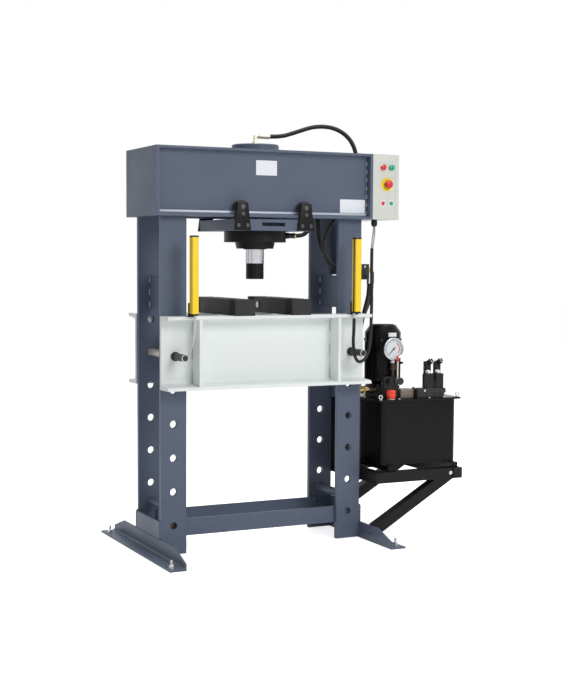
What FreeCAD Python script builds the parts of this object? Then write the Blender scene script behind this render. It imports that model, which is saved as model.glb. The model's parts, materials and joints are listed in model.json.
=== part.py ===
import FreeCAD, Part
import Sketcher
import math
import os
from types import SimpleNamespace

# A column press: two flat-bar columns, a crown of two channels back to back, a bed
# of two larger channels on pull-out pins, and a cylinder on a roller carriage that
# runs along the crown. A power pack stands on a bracket at the right.
# Millimetres. +Z is up, the front looks towards -Y and +X is to the right.
# The pieces are drawn about the middle of the press, and each one is then shifted
# so that X = 0 is the middle of the whole machine.

SIZES = {
    # crown: two channels with their lips outwards, closed by end plates
    "crown_overhang": 34.5,
    "crown_bottom": 1490,
    "crown_tall": 300,
    "crown_lip": 44,
    "crown_web": 10,
    "crown_tip": 12,
    "crown_root_radius": 10,
    "crown_toe_radius": 4,
    "end_plate": 14,
    "flange_slope": 0.08,
    # columns: two flats each, with a tie plate and a round spacer between them
    "column_spacing": 871,
    "column_wide": 120,
    "column_plate": 20,
    "column_gap": 264,
    "column_floor_gap": 3,
    "column_top_gap": 10,
    "hole_pitch": 150,
    "first_hole": 130,
    "hole_count": 7,
    "pin_hole_radius": 16.5,
    "tie_plate": 12,
    "tie_low": 1080,
    "tie_tall": 150,
    "spacer_radius": 19,
    "spacer_height": 200,
    # base: bars between the columns, side plates and angle feet
    "bar_tall": 76,
    "bar_low": 78,
    "bar_thick": 10,
    "bar_lap": 34.5,
    "side_plate_thick": 10,
    "foot_leg": 75,
    "foot_thick": 8,
    "foot_root_radius": 9,
    "foot_half": 457.5,
    "foot_slope_start": 325,
    "foot_end_tall": 31,
    "anchor_out": 49,
    "anchor_front_inset": 47.5,
    "anchor_rear_inset": 57.5,
    "anchor_radius": 6,
    "anchor_height": 33,
    "anchor_hole_radius": 7,
    "nut_across": 11,
    "nut_tall": 11,
    "washer_radius": 14,
    "washer_thick": 2.5,
    "foot_slot_place": 258,
    "foot_slot_height": 37,
    "foot_slot_radius": 6,
    # bed: two channels with their lips outwards
    "bed_overhang": 4.5,
    "bed_bottom": 735,
    "bed_tall": 320,
    "bed_lip": 100,
    "bed_web": 14,
    "bed_tip": 14,
    "bed_root_radius": 17,
    "bed_toe_radius": 8,
    "bed_column_gap": 1,
    "stiffener_plate": 14,
    "stiffener_left_inset": 89.5,
    "stiffener_right_inset": 101.5,
    "stiffener_setback": 3,
    "bed_tie_margin": 40,
    "holes_to_bed_count": 5,
    "pin_radius": 16,
    "pin_collar_radius": 20,
    "pin_collar_long": 15,
    "pin_front": 290,
    "pin_rear": 190,
    "pin_gap": 0.3,
    "pin_dimple_radius": 4,
    "pin_chamfer": 3,
    # V-blocks lying across the bed
    "block_wide": 92,
    "block_half": 245,
    "block_tall": 72,
    "block_left": 133,
    "block_right": 143,
    "notch_place": 200,
    "notch_half": 31,
    "notch_deep": 24,
    "lifting_pin_place": 128,
    "lifting_pin_radius": 15,
    "lifting_pin_proud": 3,
    # light curtains in front of the bed
    "curtain_wide": 28,
    "curtain_deep": 36,
    "curtain_low": 1062,
    "curtain_tall": 342,
    "curtain_cap": 7,
    "curtain_left_inset": 46.5,
    "curtain_right_inset": 30.5,
    "curtain_bed_gap": 3,
    "window_wide": 12,
    "window_deep": 2,
    "bracket_thick": 3,
    "bracket_wide": 40,
    "bracket_foot": 34,
    "bracket_tall": 60,
    "plug_radius": 6,
    "plug_long": 24,
    "plug_aside": 8,
    # control box with buttons at the crown's right end
    "box_deep": 390,
    "box_out": 119,
    "box_sheet": 2,
    "door_deep": 19,
    "door_gap": 0.6,
    "door_hinge_radius": 5,
    "gear_plate": 3,
    "gear_gap": 14,
    "gear_margin": 25,
    "gear_wide": 300,
    "gear_blocks": 5,
    "gear_block_wide": 42,
    "gear_block_gap": 4,
    "gear_block_deep": 60,
    "gear_block_tall": 75,
    "gear_block_low": 140,
    "terminal_deep": 40,
    "terminal_tall": 40,
    "terminal_low": 45,
    "terminal_margin": 20,
    "hinge_knuckle": 30,
    "hinge_inset": 50,
    "hinge_gap": 0.3,
    "hinge_leaf": 15,
    "hinge_leaf_thick": 2,
    "button_hole_gap": 1,
    "button_slide_gap": 0.3,
    "button_edge": 1,
    "stop_under": 14,
    "stop_rim": 8,
    "stop_crown": 3,
    "stop_dome": 1.5,
    "collar_radius": 15,
    "collar_proud": 3,
    "button_radius": 11,
    "button_proud": 6,
    "button_neck": 8,
    "stop_disc_radius": 31,
    "stop_disc_proud": 2,
    "stop_radius": 20,
    "stop_proud": 28,
    "stop_neck_radius": 11,
    "upper_row": 240,
    "stop_row": 162,
    "lower_row": 75,
    "button_red_out": 53,
    "button_step": 44,
    "gland_radius": 13,
    "gland_long": 32,
    "gland_nut_long": 9,
    "gland_step": 2,
    "gland_cone": 8,
    "gland_inset": 3,
    # roller carriage
    "cylinder_out": 22,
    "carriage_half": 191,
    "carriage_side": 200,
    "carriage_low": 1431,
    "carriage_tall": 50,
    "carriage_bar": 15,
    "carriage_plate": 20,
    "carriage_slot_long": 114,
    "carriage_slot_tall": 23,
    "carriage_slot_out": 1,
    "carriage_corner": 25,
    "seat_gap": 0.5,
    "hanger_offset": 156,
    "hanger_wide": 80,
    "hanger_top_wide": 50,
    "hanger_thick": 15,
    "hanger_tall": 123,
    "roller_radius": 30,
    "roller_gap": 0.4,
    "roller_wide": 27,
    "roller_end_gap": 1,
    "axle_over": 3,
    "axle_radius": 12,
    "axle_gap": 0.05,
    # cylinder and ram
    "barrel_radius": 107.5,
    "bore_radius": 80,
    "barrel_cap": 62,
    "barrel_chamfer": 4,
    "head_radius": 142,
    "head_tall": 50,
    "gland_reach": 55,
    "gland_slack": 0.05,
    "collar_top_radius": 91.5,
    "collar_bottom_radius": 85,
    "collar_tall": 29,
    "rod_radius": 42.5,
    "rod_gap": 0.1,
    "rod_shown": 67,
    "piston_tall": 120,
    "piston_gap": 0.1,
    "piston_end_gap": 3,
    "ram_up": 66,
    "ram_down": 84,
    "nose_radius": 41,
    "nose_tall": 72,
    "nose_groove": 1.5,
    "groove_wide": 2,
    "lower_groove": 36,
    "upper_groove": 58,
    "nose_chamfer": 3,
    "head_bolt_circle": 125,
    "head_bolt_radius": 9,
    "head_bolt_hole_radius": 9.5,
    "head_bolt_recess": 14,
    "head_bolt_tall": 12,
    "head_bolt_count": 8,
    "elbow_nut_across": 16,
    "elbow_nut_tall": 18,
    "elbow_stem_radius": 10,
    "elbow_rise": 42,
    "elbow_long": 70,
    "elbow_sleeve_radius": 12,
    "elbow_sleeve_start": 16,
    "port_radius": 10,
    "port_deep": 8,
    "port_drop": 18,
    "port_front": 30,
    "port_stem_long": 56,
    "port_nut_across": 16,
    "port_nut_long": 14,
    "port_sleeve_radius": 12,
    "port_sleeve_start": 28,
    "port_sleeve_long": 28,
    # junction block on the right column
    "junction_wide": 38,
    "junction_deep": 120,
    "junction_tall": 72,
    "junction_low": 1212,
    "junction_front": 150,
    "strap_tall": 26,
    "strap_thick": 6,
    "inlet_height": 28,
    "inlet_long": 18,
    "inlet_nut_long": 12,
    "inlet_nut_across": 16,
    "inlet_front": 104,
    "inlet_rear": 46,
    "outlet_drop": 22,
    "outlet_below": 20,
    "outlet_front": 112,
    "outlet_rear": 86,
    "outlet_near": 22,
    "outlet_far": 50,
    "outlet_stub_radius": 8,
    "ferrule_wall": 1,
    # hoses and cables
    "hose_radius": 10,
    "sleeve_radius": 7.5,
    "wire_radius": 3,
    "wire_spacing": 7,
    "curtain_wire_radius": 2.5,
    # power pack bracket of square tube
    "tube_side": 50,
    "tube_wall": 3,
    "tube_plug_flange": 4,
    "tube_plug_long": 20,
    "bracket_low": 272,
    "pack_front": 290,
    "pack_rear": 204,
    "right_arm_out": 430.5,
    "strut_low": 22,
    "strut_rise": 229,
    "strut_run": 389,
    "strut_thick": 58,
    # tank
    "tank_left": 76.5,
    "tank_right": 481.5,
    "tank_front": 235,
    "tank_rear": 115,
    "tank_low": 345,
    "tank_tall": 300,
    "tank_sheet": 3,
    "tank_corner": 26,
    "rest_wide": 40,
    "rest_inset": 12,
    "rest_end_gap": 20,
    "lid_left": 49.5,
    "lid_right": 494.5,
    "lid_front": 252,
    "lid_rear": 132,
    "lid_thick": 9,
    "lid_bolt_across": 8,
    "lid_bolt_tall": 7,
    "lid_bolt_inset": 18,
    "eye_radius": 8.5,
    "eye_wire": 2.5,
    "eye_neck_radius": 4,
    "eye_neck_tall": 5,
    "eye_inset": 12,
    # motor, and the manifold under it
    "motor_out": 161.5,
    "motor_back": 80,
    "motor_tall": 287,
    "motor_radius": 78,
    "motor_foot_radius": 60,
    "motor_foot_tall": 26,
    "fin_deep": 8,
    "fin_thick": 3,
    "fin_count": 28,
    "fin_low": 30,
    "fin_root": 2,
    "motor_wall": 10,
    "cowl_low": 78,
    "cowl_shoulder": 34,
    "cowl_top_radius": 60,
    "cowl_edge": 4,
    "shaft_radius": 12,
    "shaft_gap": 4,
    "rotor_radius": 44,
    "rotor_low": 40,
    "rotor_tall": 140,
    "fan_radius": 56,
    "fan_low": 60,
    "fan_tall": 16,
    "manifold_side": 120,
    "manifold_tall": 55,
    "nozzle_left": 55,
    "nozzle_right": 19,
    "nozzle_front": 196,
    "nozzle_deep": 26,
    "nozzle_tall": 48,
    "pump_radius": 42,
    "pump_spigot_radius": 50,
    "pump_spigot_tall": 18,
    "pump_deep": 120,
    "suction_radius": 14,
    "suction_long": 30,
    "suction_hole_gap": 2,
    "bonnet_across": 13,
    "bonnet_long": 8,
    "pack_elbow_gap": 33,
    "pack_elbow_height": 36,
    "pack_elbow_over": 8,
    "pack_elbow_rise": 24,
    "pack_front_row": 112,
    "pack_rear_row": 60,
    "pack_nut_across": 17,
    "pack_nut_long": 20,
    "pack_nut_start": 28,
    "pack_collar_radius": 16,
    "pack_collar_start": 56,
    "pack_collar_long": 18,
    # gauge, lever, knobs and filler cap
    "gauge_out": 154.5,
    "gauge_front": 200,
    "gauge_height": 887,
    "gauge_radius": 53,
    "gauge_deep": 24,
    "bezel_wide": 5,
    "bezel_round": 3,
    "dial_sunk": 5,
    "needle_bore": 3,
    "needle_bore_deep": 5,
    "needle_hub_gap": 0.2,
    "needle_thick": 1.2,
    "needle_wide": 2.4,
    "needle_long": 38,
    "needle_tail": 14,
    "needle_glass_gap": 1.6,
    "needle_floor_gap": 0.2,
    "gauge_stem_radius": 7,
    "gauge_nut_across": 9,
    "gauge_nut_tall": 14,
    "gauge_valve_side": 26,
    "gauge_valve_tall": 28,
    "gauge_valve_low": 30,
    "cap_out": 125.5,
    "cap_front": 225,
    "cap_radius": 22,
    "cap_tall": 44,
    "cap_neck_radius": 17,
    "cap_neck_tall": 10,
    "cap_round": 5,
    "cap_seat_gap": 0.2,
    "lever_hub_radius": 12,
    "lever_hub_long": 11,
    "lever_radius": 4,
    "lever_long": 118,
    "lever_grip_radius": 7,
    "lever_grip_long": 28,
    "lever_gap": 0.3,
    "knob_height": 84,
    "valve_knob_out": 124.5,
    "flow_knob_out": 168.5,
    "knob_stem_radius": 4,
    "knob_stem_bore": 6.8,
    "knob_radius": 13,
    "knob_long": 24,
    "knob_stem_long": 2,
    "cone_radius": 17,
    "cone_small_radius": 8,
    "cone_long": 18,
    "cone_rim": 6,
    # valve block, its coils and the cover beside it
    "valve_left": 260.5,
    "valve_right": 409.5,
    "valve_front": 240,
    "valve_deep": 60,
    "valve_tall": 45,
    "valve_plug_radius": 13,
    "valve_plug_long": 20,
    "valve_plug_height": 30,
    "cover_gap": 4,
    "cover_left": 184.5,
    "cover_front": 215,
    "cover_deep": 62,
    "cover_tall": 44,
    "coil_side": 40,
    "coil_tall": 68,
    "coil_first": 76,
    "coil_step": 54,
    "coil_nut_across": 13,
    "coil_nut_tall": 18,
    "plug_wide": 28,
    "plug_deep": 24,
    "plug_low": 30,
    "plug_tall": 98,
    "outlet_tube_radius": 12,
    "outlet_tube_long": 38,
    "outlet_tube_sunk": 18,
}

document = FreeCAD.newDocument("HydraulicPress")
sheet = document.addObject("Spreadsheet::Sheet", "Sizes")
for row, (word, number) in enumerate(SIZES.items(), start=1):
    sheet.set(f"A{row}", word)
    sheet.set(f"B{row}", str(number))
    sheet.setAlias(f"B{row}", word)
document.recompute()


class Size:
    """A number together with the sheet expression that gives it."""

    def __init__(self, value, text):
        self.value = float(value)
        self.text = text

    def __add__(self, other):
        other = sized(other)
        return Size(self.value + other.value, f"({self.text} + {other.text})")

    def __sub__(self, other):
        other = sized(other)
        return Size(self.value - other.value, f"({self.text} - {other.text})")

    def __mul__(self, other):
        other = sized(other)
        return Size(self.value * other.value, f"({self.text} * {other.text})")

    def __truediv__(self, other):
        other = sized(other)
        return Size(self.value / other.value, f"({self.text} / {other.text})")

    def __rsub__(self, other):
        return sized(other) - self

    def __neg__(self):
        return self * -1

    __radd__ = __add__
    __rmul__ = __mul__


def sized(item):
    return item if isinstance(item, Size) else Size(item, f"{item:.10g}")


s = SimpleNamespace(**{word: Size(n, f"Sizes.{word}") for word, n in SIZES.items()})

# Places that several pieces share.
column_out = s.column_spacing / 2
column_edge = column_out + s.column_wide / 2
crown_half = column_edge + s.crown_overhang
bar_half = column_out - s.column_wide / 2 + s.bar_lap
plate_back = s.column_gap / 2
plate_face = plate_back + s.column_plate
crown_top = s.crown_bottom + s.crown_tall
crown_side = plate_face + s.crown_lip
right_arm_out = column_edge + s.right_arm_out
tank_left = column_edge + s.tank_left
tank_right = column_edge + s.tank_right
lid_left = column_edge + s.lid_left
lid_right = column_edge + s.lid_right
motor_out = column_edge + s.motor_out
gauge_out = column_edge + s.gauge_out
cap_out = column_edge + s.cap_out
valve_knob_out = column_edge + s.valve_knob_out
flow_knob_out = column_edge + s.flow_knob_out
valve_left = column_edge + s.valve_left
valve_right = column_edge + s.valve_right
cover_left = column_edge + s.cover_left
machine_middle = (lid_right - column_edge - s.foot_leg) / 2
bed_back = plate_face + s.bed_column_gap
bed_face = bed_back + s.bed_web
bed_tips = bed_back + s.bed_lip
bed_top = s.bed_bottom + s.bed_tall
bed_half = column_edge + s.bed_overhang
pin_height = s.first_hole + s.hole_pitch * s.holes_to_bed_count
head_bottom = s.carriage_low - s.head_tall
collar_bottom = head_bottom - s.collar_tall
anchor_front = s.foot_half - s.anchor_front_inset
anchor_rear = s.foot_half - s.anchor_rear_inset
nose_top = collar_bottom - s.rod_shown
lid_top = s.tank_low + s.tank_tall + s.lid_thick
motor_low = lid_top + s.manifold_tall
box_face = s.box_deep / 2

AXES = {
    "x": FreeCAD.Vector(1, 0, 0),
    "y": FreeCAD.Vector(0, 1, 0),
    "z": FreeCAD.Vector(0, 0, 1),
}
TO_FRONT = ("x", 90)
TO_BACK = ("x", -90)
TO_RIGHT = ("y", 90)
TO_LEFT = ("y", -90)

nodes = []
places = {}


def bind(item, path, size):
    item.setExpression(path, sized(size).text)


def place(item, at, turn=None):
    """Put a piece at a point, its own Z axis turned about x, y or z."""
    if turn:
        rotation = FreeCAD.Rotation(AXES[turn[0]], turn[1])
        item.Placement = FreeCAD.Placement(FreeCAD.Vector(), rotation)
    for letter, size in zip("xyz", at):
        bind(item, f"Placement.Base.{letter}", size)
    places[item.Name] = at[0]
    return item


def node(item):
    """Shift a finished piece into the machine's frame and keep it."""
    bind(item, "Placement.Base.x", places.get(item.Name, 0) - machine_middle)
    nodes.append(item)
    return item


def block(name, at, wide, deep, tall):
    item = document.addObject("Part::Box", name)
    bind(item, "Length", wide)
    bind(item, "Width", deep)
    bind(item, "Height", tall)
    return place(item, at)


def rod(name, at, radius, long, turn=None):
    item = document.addObject("Part::Cylinder", name)
    bind(item, "Radius", radius)
    bind(item, "Height", long)
    return place(item, at, turn)


def cone(name, at, start_radius, end_radius, long, turn=None):
    item = document.addObject("Part::Cone", name)
    bind(item, "Radius1", start_radius)
    bind(item, "Radius2", end_radius)
    bind(item, "Height", long)
    return place(item, at, turn)


def hexagon(name, at, across_radius, tall, turn=None):
    item = document.addObject("Part::Prism", name)
    item.Polygon = 6
    bind(item, "Circumradius", across_radius)
    bind(item, "Height", tall)
    return place(item, at, turn)


def fuse(name, *pieces):
    item = document.addObject("Part::MultiFuse", name)
    item.Shapes = list(pieces)
    return item


def cut(name, base, *tools):
    item = document.addObject("Part::Cut", name)
    item.Base = base
    item.Tool = tools[0] if len(tools) == 1 else fuse(name + "_tools", *tools)
    return item


def group(name, *pieces):
    item = document.addObject("Part::Compound", name)
    item.Links = list(pieces)
    return item


def body(name, at=(0, 0, 0), turn=None):
    return place(document.addObject("PartDesign::Body", name), at, turn)


def sketch(piece, role, outline=(), circles=()):
    """A closed outline and circles, each held by distances from the origin."""
    drawing = piece.newObject("Sketcher::SketchObject", piece.Name + "_sketch")
    plane = next(f for f in piece.Origin.OriginFeatures if f.Role == role)
    drawing.AttachmentSupport = [(plane, "")]
    drawing.MapMode = "FlatFace"
    corners = [(sized(u), sized(v)) for u, v in outline]
    points = [FreeCAD.Vector(u.value, v.value, 0) for u, v in corners]
    for start, end in zip(points, points[1:] + points[:1]):
        drawing.addGeometry(Part.LineSegment(start, end), False)
    for line in range(len(points)):
        after = (line + 1) % len(points)
        drawing.addConstraint(Sketcher.Constraint("Coincident", line, 2, after, 1))
    for line, (u, v) in enumerate(corners):
        hold(drawing, line, 1, u, v)
    for u, v, radius in circles:
        u, v, radius = sized(u), sized(v), sized(radius)
        ring = Part.Circle(FreeCAD.Vector(u.value, v.value, 0), AXES["z"], radius.value)
        number = drawing.addGeometry(ring, False)
        key = drawing.addConstraint(Sketcher.Constraint("Radius", number, radius.value))
        drawing.setExpression(f"Constraints[{key}]", radius.text)
        hold(drawing, number, 3, u, v)
    return drawing


def hold(drawing, number, end, u, v):
    """Tie a point of a sketch to its origin across and up."""
    for kind, size in (("DistanceX", u), ("DistanceY", v)):
        rule = Sketcher.Constraint(kind, -1, 1, number, end, size.value)
        key = drawing.addConstraint(rule)
        drawing.setExpression(f"Constraints[{key}]", size.text)


def pad(piece, drawing, long, both_ways=False):
    feature = piece.newObject("PartDesign::Pad", piece.Name + "_pad")
    feature.Profile = drawing
    feature.SideType = "Symmetric" if both_ways else "One side"
    bind(feature, "Length", long)
    return feature


def pocket(piece, drawing):
    """Cut a drawing right through a piece, both ways from its plane."""
    document.recompute()
    before = piece.Shape.Volume
    feature = piece.newObject("PartDesign::Pocket", piece.Name + "_pocket")
    feature.Profile = drawing
    feature.Type = "ThroughAll"
    feature.SideType = "Symmetric"
    document.recompute()
    if piece.Shape.Volume > before - 1:
        raise ValueError(f"{feature.Name} cuts nothing")
    return feature


def plate(name, at, role, outline, thick, circles=(), both_ways=False, turn=None):
    """A flat piece: its outline with round holes, padded to its thickness."""
    piece = body(name, at, turn)
    pad(piece, sketch(piece, role, outline, circles), thick, both_ways)
    return piece


def turned(name, at, outline, turn=None):
    """A turned piece: its half outline, radius and height, spun round its Z axis."""
    piece = body(name, at, turn)
    drawing = sketch(piece, "XZ_Plane", outline)
    feature = piece.newObject("PartDesign::Revolution", name + "_spin")
    feature.Profile = drawing
    feature.ReferenceAxis = (drawing, ["V_Axis"])
    feature.Angle = 360
    return piece


def edges_at(shape, spots):
    """Names of the edges whose middles lie at these spots."""
    names = []
    for number, edge in enumerate(shape.Edges, start=1):
        middle = edge.CenterOfMass
        for spot in spots:
            off = [abs(getattr(middle, k) - sized(v).value) for k, v in spot.items()]
            if max(off) < 0.01:
                names.append(f"Edge{number}")
                break
    return names


def finish_edges(piece, kind, size, spots):
    """Fillet or Chamfer the edges at these spots."""
    document.recompute()
    base = piece.Tip
    names = edges_at(base.Shape, spots)
    if not names:
        raise ValueError(f"no edges found on {piece.Name}")
    feature = piece.newObject(f"PartDesign::{kind}", piece.Name + "_" + kind.lower())
    feature.Base = (base, names)
    bind(feature, "Radius" if kind == "Fillet" else "Size", size)
    return feature


def channel(name, at, side, long, tall, lip, web, tip, root_radius, toe_radius, holes=()):
    """A rolled channel: web back at Y = 0, tapered flanges towards side."""
    root = tip + (lip - web) * s.flange_slope
    outline = [
        (0, 0),
        (side * lip, 0),
        (side * lip, tip),
        (side * web, root),
        (side * web, tall - root),
        (side * lip, tall - tip),
        (side * lip, tall),
        (0, tall),
    ]
    piece = body(name, at)
    pad(piece, sketch(piece, "YZ_Plane", outline), long)
    middle = {"x": long / 2}
    roots = [middle | {"y": side * web, "z": z} for z in (root, tall - root)]
    toes = [middle | {"y": side * lip, "z": z} for z in (tip, tall - tip)]
    finish_edges(piece, "Fillet", root_radius, roots)
    finish_edges(piece, "Fillet", toe_radius, toes)
    if holes:
        pocket(piece, sketch(piece, "XZ_Plane", circles=holes))
    return piece


# Columns: two flats with a row of pin holes, a tie plate and a round spacer.
def column_flat(name, out, back):
    tall = crown_top - s.column_top_gap - s.column_floor_gap
    half = s.column_wide / 2
    outline = [(-half, 0), (half, 0), (half, tall), (-half, tall)]
    piece = plate(name, (out, back, s.column_floor_gap), "XZ_Plane", outline, s.column_plate)
    first = (0, s.first_hole - s.column_floor_gap, s.pin_hole_radius)
    drawing = sketch(piece, "XZ_Plane", circles=[first])
    hole = pocket(piece, drawing)
    row_of_holes = piece.newObject("PartDesign::LinearPattern", name + "_row")
    row_of_holes.Originals = [hole]
    row_of_holes.Direction = (drawing, ["V_Axis"])
    bind(row_of_holes, "Length", s.hole_pitch * (s.hole_count - 1))
    bind(row_of_holes, "Occurrences", s.hole_count)
    piece.Tip = row_of_holes
    return piece


for word, side in (("left", -1), ("right", 1)):
    name = f"column_{word}"
    out = side * column_out
    front = column_flat(name + "_front", out, -plate_back)
    rear = column_flat(name + "_rear", out, plate_face)
    tie_at = (out - s.tie_plate / 2, -plate_back, s.tie_low)
    tie = block(name + "_tie", tie_at, s.tie_plate, s.column_gap, s.tie_tall)
    spacer_at = (out, -plate_back, s.spacer_height)
    spacer = rod(name + "_spacer", spacer_at, s.spacer_radius, s.column_gap, TO_BACK)
    pieces = [front, rear, tie, spacer]
    if side > 0:
        strap_at = (column_edge, -plate_face, s.junction_low + s.junction_tall - s.strap_tall)
        strap = block(name + "_strap", strap_at, s.strap_thick, plate_face * 2, s.strap_tall)
        pieces.append(strap)
    node(group(name, *pieces))

# Crown: two channels against the outer faces of the flats, and two end plates.
crown_long = (crown_half - s.end_plate) * 2
for word, side in (("front", -1), ("rear", 1)):
    at = (-crown_long / 2, side * plate_face, s.crown_bottom)
    node(
        channel(
            f"crown_{word}_channel",
            at,
            side,
            crown_long,
            s.crown_tall,
            s.crown_lip,
            s.crown_web,
            s.crown_tip,
            s.crown_root_radius,
            s.crown_toe_radius,
        )
    )
ends = [
    block(f"crown_end_{word}", (x, -crown_side, s.crown_bottom), s.end_plate, crown_side * 2, s.crown_tall)
    for word, x in (("left", -crown_half), ("right", crown_long / 2))
]
node(group("crown_end_plates", *ends))

# Base: bars between the columns, side plates on the feet, and angle feet.
bars = [
    block(f"base_bar_{word}", (-bar_half, y, s.bar_low), bar_half * 2, s.bar_thick, s.bar_tall)
    for word, y in (("front", -plate_back), ("rear", plate_back - s.bar_thick))
]
sides = [
    block(f"base_side_{word}", (x, -plate_face, s.bar_low), s.side_plate_thick, plate_face * 2, s.bar_tall)
    for word, x in (("left", -column_edge - s.side_plate_thick), ("right", column_edge))
]
node(group("base_stretchers", *bars, *sides))


def foot(name, side):
    """An angle, its upright leg against the column and its ends sloped down."""
    leg = s.foot_leg
    thick = s.foot_thick
    outline = [
        (0, 0),
        (side * leg, 0),
        (side * leg, thick),
        (side * thick, thick),
        (side * thick, leg),
        (0, leg),
    ]
    piece = body(name, (side * column_edge, 0, 0))
    pad(piece, sketch(piece, "XZ_Plane", outline), s.foot_half * 2, both_ways=True)
    inner = [{"x": side * thick, "y": 0, "z": thick}]
    finish_edges(piece, "Fillet", s.foot_root_radius, inner)
    for end in (-1, 1):
        slope = [
            (end * s.foot_slope_start, leg),
            (end * s.foot_half, s.foot_end_tall),
            (end * s.foot_half, leg),
        ]
        pocket(piece, sketch(piece, "YZ_Plane", slope))
    studs = [
        (side * s.anchor_out, -anchor_front, s.anchor_hole_radius),
        (side * s.anchor_out, anchor_rear, s.anchor_hole_radius),
    ]
    pocket(piece, sketch(piece, "XY_Plane", circles=studs))
    if side > 0:
        hole = (-s.foot_slot_place, s.foot_slot_height, s.foot_slot_radius)
        pocket(piece, sketch(piece, "YZ_Plane", circles=[hole]))
    return piece


for word, side in (("left", -1), ("right", 1)):
    node(foot(f"foot_{word}", side))

# Anchor studs through the feet, each with its washer and nut.
anchors = []
for word, side in (("left", -1), ("right", 1)):
    for end, y in (("front", -anchor_front), ("rear", anchor_rear)):
        x = side * (column_edge + s.anchor_out)
        name = f"anchor_{word}_{end}"
        stud_long = s.foot_thick + s.anchor_height
        stud = rod(name + "_stud", (x, y, 0), s.anchor_radius, stud_long)
        washer_at = (x, y, s.foot_thick)
        washer = rod(name + "_washer", washer_at, s.washer_radius, s.washer_thick)
        nut_at = (x, y, s.foot_thick + s.washer_thick)
        nut = hexagon(name + "_nut", nut_at, s.nut_across, s.nut_tall)
        anchors.append(fuse(name, stud, washer, nut))
node(group("anchor_bolts", *anchors))

# Bed: two channels with stiffeners in them, tied to each other between the webs.
bed_root = s.bed_tip + (s.bed_lip - s.bed_web) * s.flange_slope
stiffener_places = (
    ("left", s.stiffener_left_inset - column_out),
    ("right", column_out - s.stiffener_right_inset),
)


def stiffener(name, out, side):
    """A plate across the channel, its inner corners clear of the root fillets."""
    start = side * bed_face
    end = side * (bed_tips - s.stiffener_setback)
    low = s.bed_bottom + bed_root
    high = bed_top - bed_root
    drop = (s.bed_lip - s.bed_web - s.stiffener_setback) * s.flange_slope
    clear = s.bed_root_radius
    fall = clear * s.flange_slope
    outline = [
        (start, low + clear),
        (start + side * clear, low - fall),
        (end, low - drop),
        (end, high + drop),
        (start + side * clear, high + fall),
        (start, high - clear),
    ]
    at = (out - s.stiffener_plate / 2, 0, 0)
    return plate(name, at, "YZ_Plane", outline, s.stiffener_plate)


for word, side in (("front", -1), ("rear", 1)):
    name = f"bed_{word}_channel"
    holes = [
        (bed_half - column_out, pin_height - s.bed_bottom, s.pin_hole_radius),
        (bed_half + column_out, pin_height - s.bed_bottom, s.pin_hole_radius),
    ]
    rail = channel(
        name + "_rail",
        (-bed_half, side * bed_back, s.bed_bottom),
        side,
        bed_half * 2,
        s.bed_tall,
        s.bed_lip,
        s.bed_web,
        s.bed_tip,
        s.bed_root_radius,
        s.bed_toe_radius,
        holes,
    )
    ribs = [stiffener(f"{name}_rib_{end}", x, side) for end, x in stiffener_places]
    pieces = [rail, *ribs]
    if side > 0:
        for end, x in stiffener_places:
            tie_at = (x - s.stiffener_plate / 2, -bed_back, s.bed_bottom + s.bed_tie_margin)
            tie_tall = s.bed_tall - s.bed_tie_margin * 2
            pieces.append(block(f"bed_tie_{end}", tie_at, s.stiffener_plate, bed_back * 2, tie_tall))
    node(group(name, *pieces))

# Bed pins: a long shank, a collar that stops at the bed and a plain grip.
for word, side in (("left", -1), ("right", 1)):
    stop = s.pin_front - bed_face - s.pin_gap
    shank = s.pin_front + s.pin_rear
    radius = s.pin_radius
    chamfer = s.pin_chamfer
    dimple = s.pin_dimple_radius
    outline = [
        (0, dimple),
        (dimple, 0),
        (radius - chamfer, 0),
        (radius, chamfer),
        (radius, stop - s.pin_collar_long),
        (s.pin_collar_radius, stop - s.pin_collar_long),
        (s.pin_collar_radius, stop),
        (radius, stop),
        (radius, shank - chamfer),
        (radius - chamfer, shank),
        (0, shank),
    ]
    at = (side * column_out, -s.pin_front, pin_height)
    node(turned(f"bed_pin_{word}", at, outline, TO_BACK))

# V-blocks: bars across the bed with upright notches in their long sides.
for word, out in (("left", -s.block_left), ("right", s.block_right)):
    name = f"v_block_{word}"
    half = s.block_wide / 2
    stop = s.block_half
    near = s.notch_place - s.notch_half
    far = s.notch_place + s.notch_half
    tip = half - s.notch_deep
    outline = [
        (-half, -stop),
        (half, -stop),
        (half, -far),
        (tip, -s.notch_place),
        (half, -near),
        (half, near),
        (tip, s.notch_place),
        (half, far),
        (half, stop),
        (-half, stop),
        (-half, far),
        (-tip, s.notch_place),
        (-half, near),
        (-half, -near),
        (-tip, -s.notch_place),
        (-half, -far),
    ]
    bar = plate(name + "_bar", (out, 0, bed_top), "XY_Plane", outline, s.block_tall)
    if out.value > 0:
        lifting_at = (out - half - s.lifting_pin_proud, s.lifting_pin_place, bed_top + s.block_tall / 2)
        lifting_long = s.lifting_pin_proud * 2
        pin = rod(name + "_pin", lifting_at, s.lifting_pin_radius, lifting_long, TO_RIGHT)
        node(fuse(name, bar, pin))
    else:
        node(group(name, bar))

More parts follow.
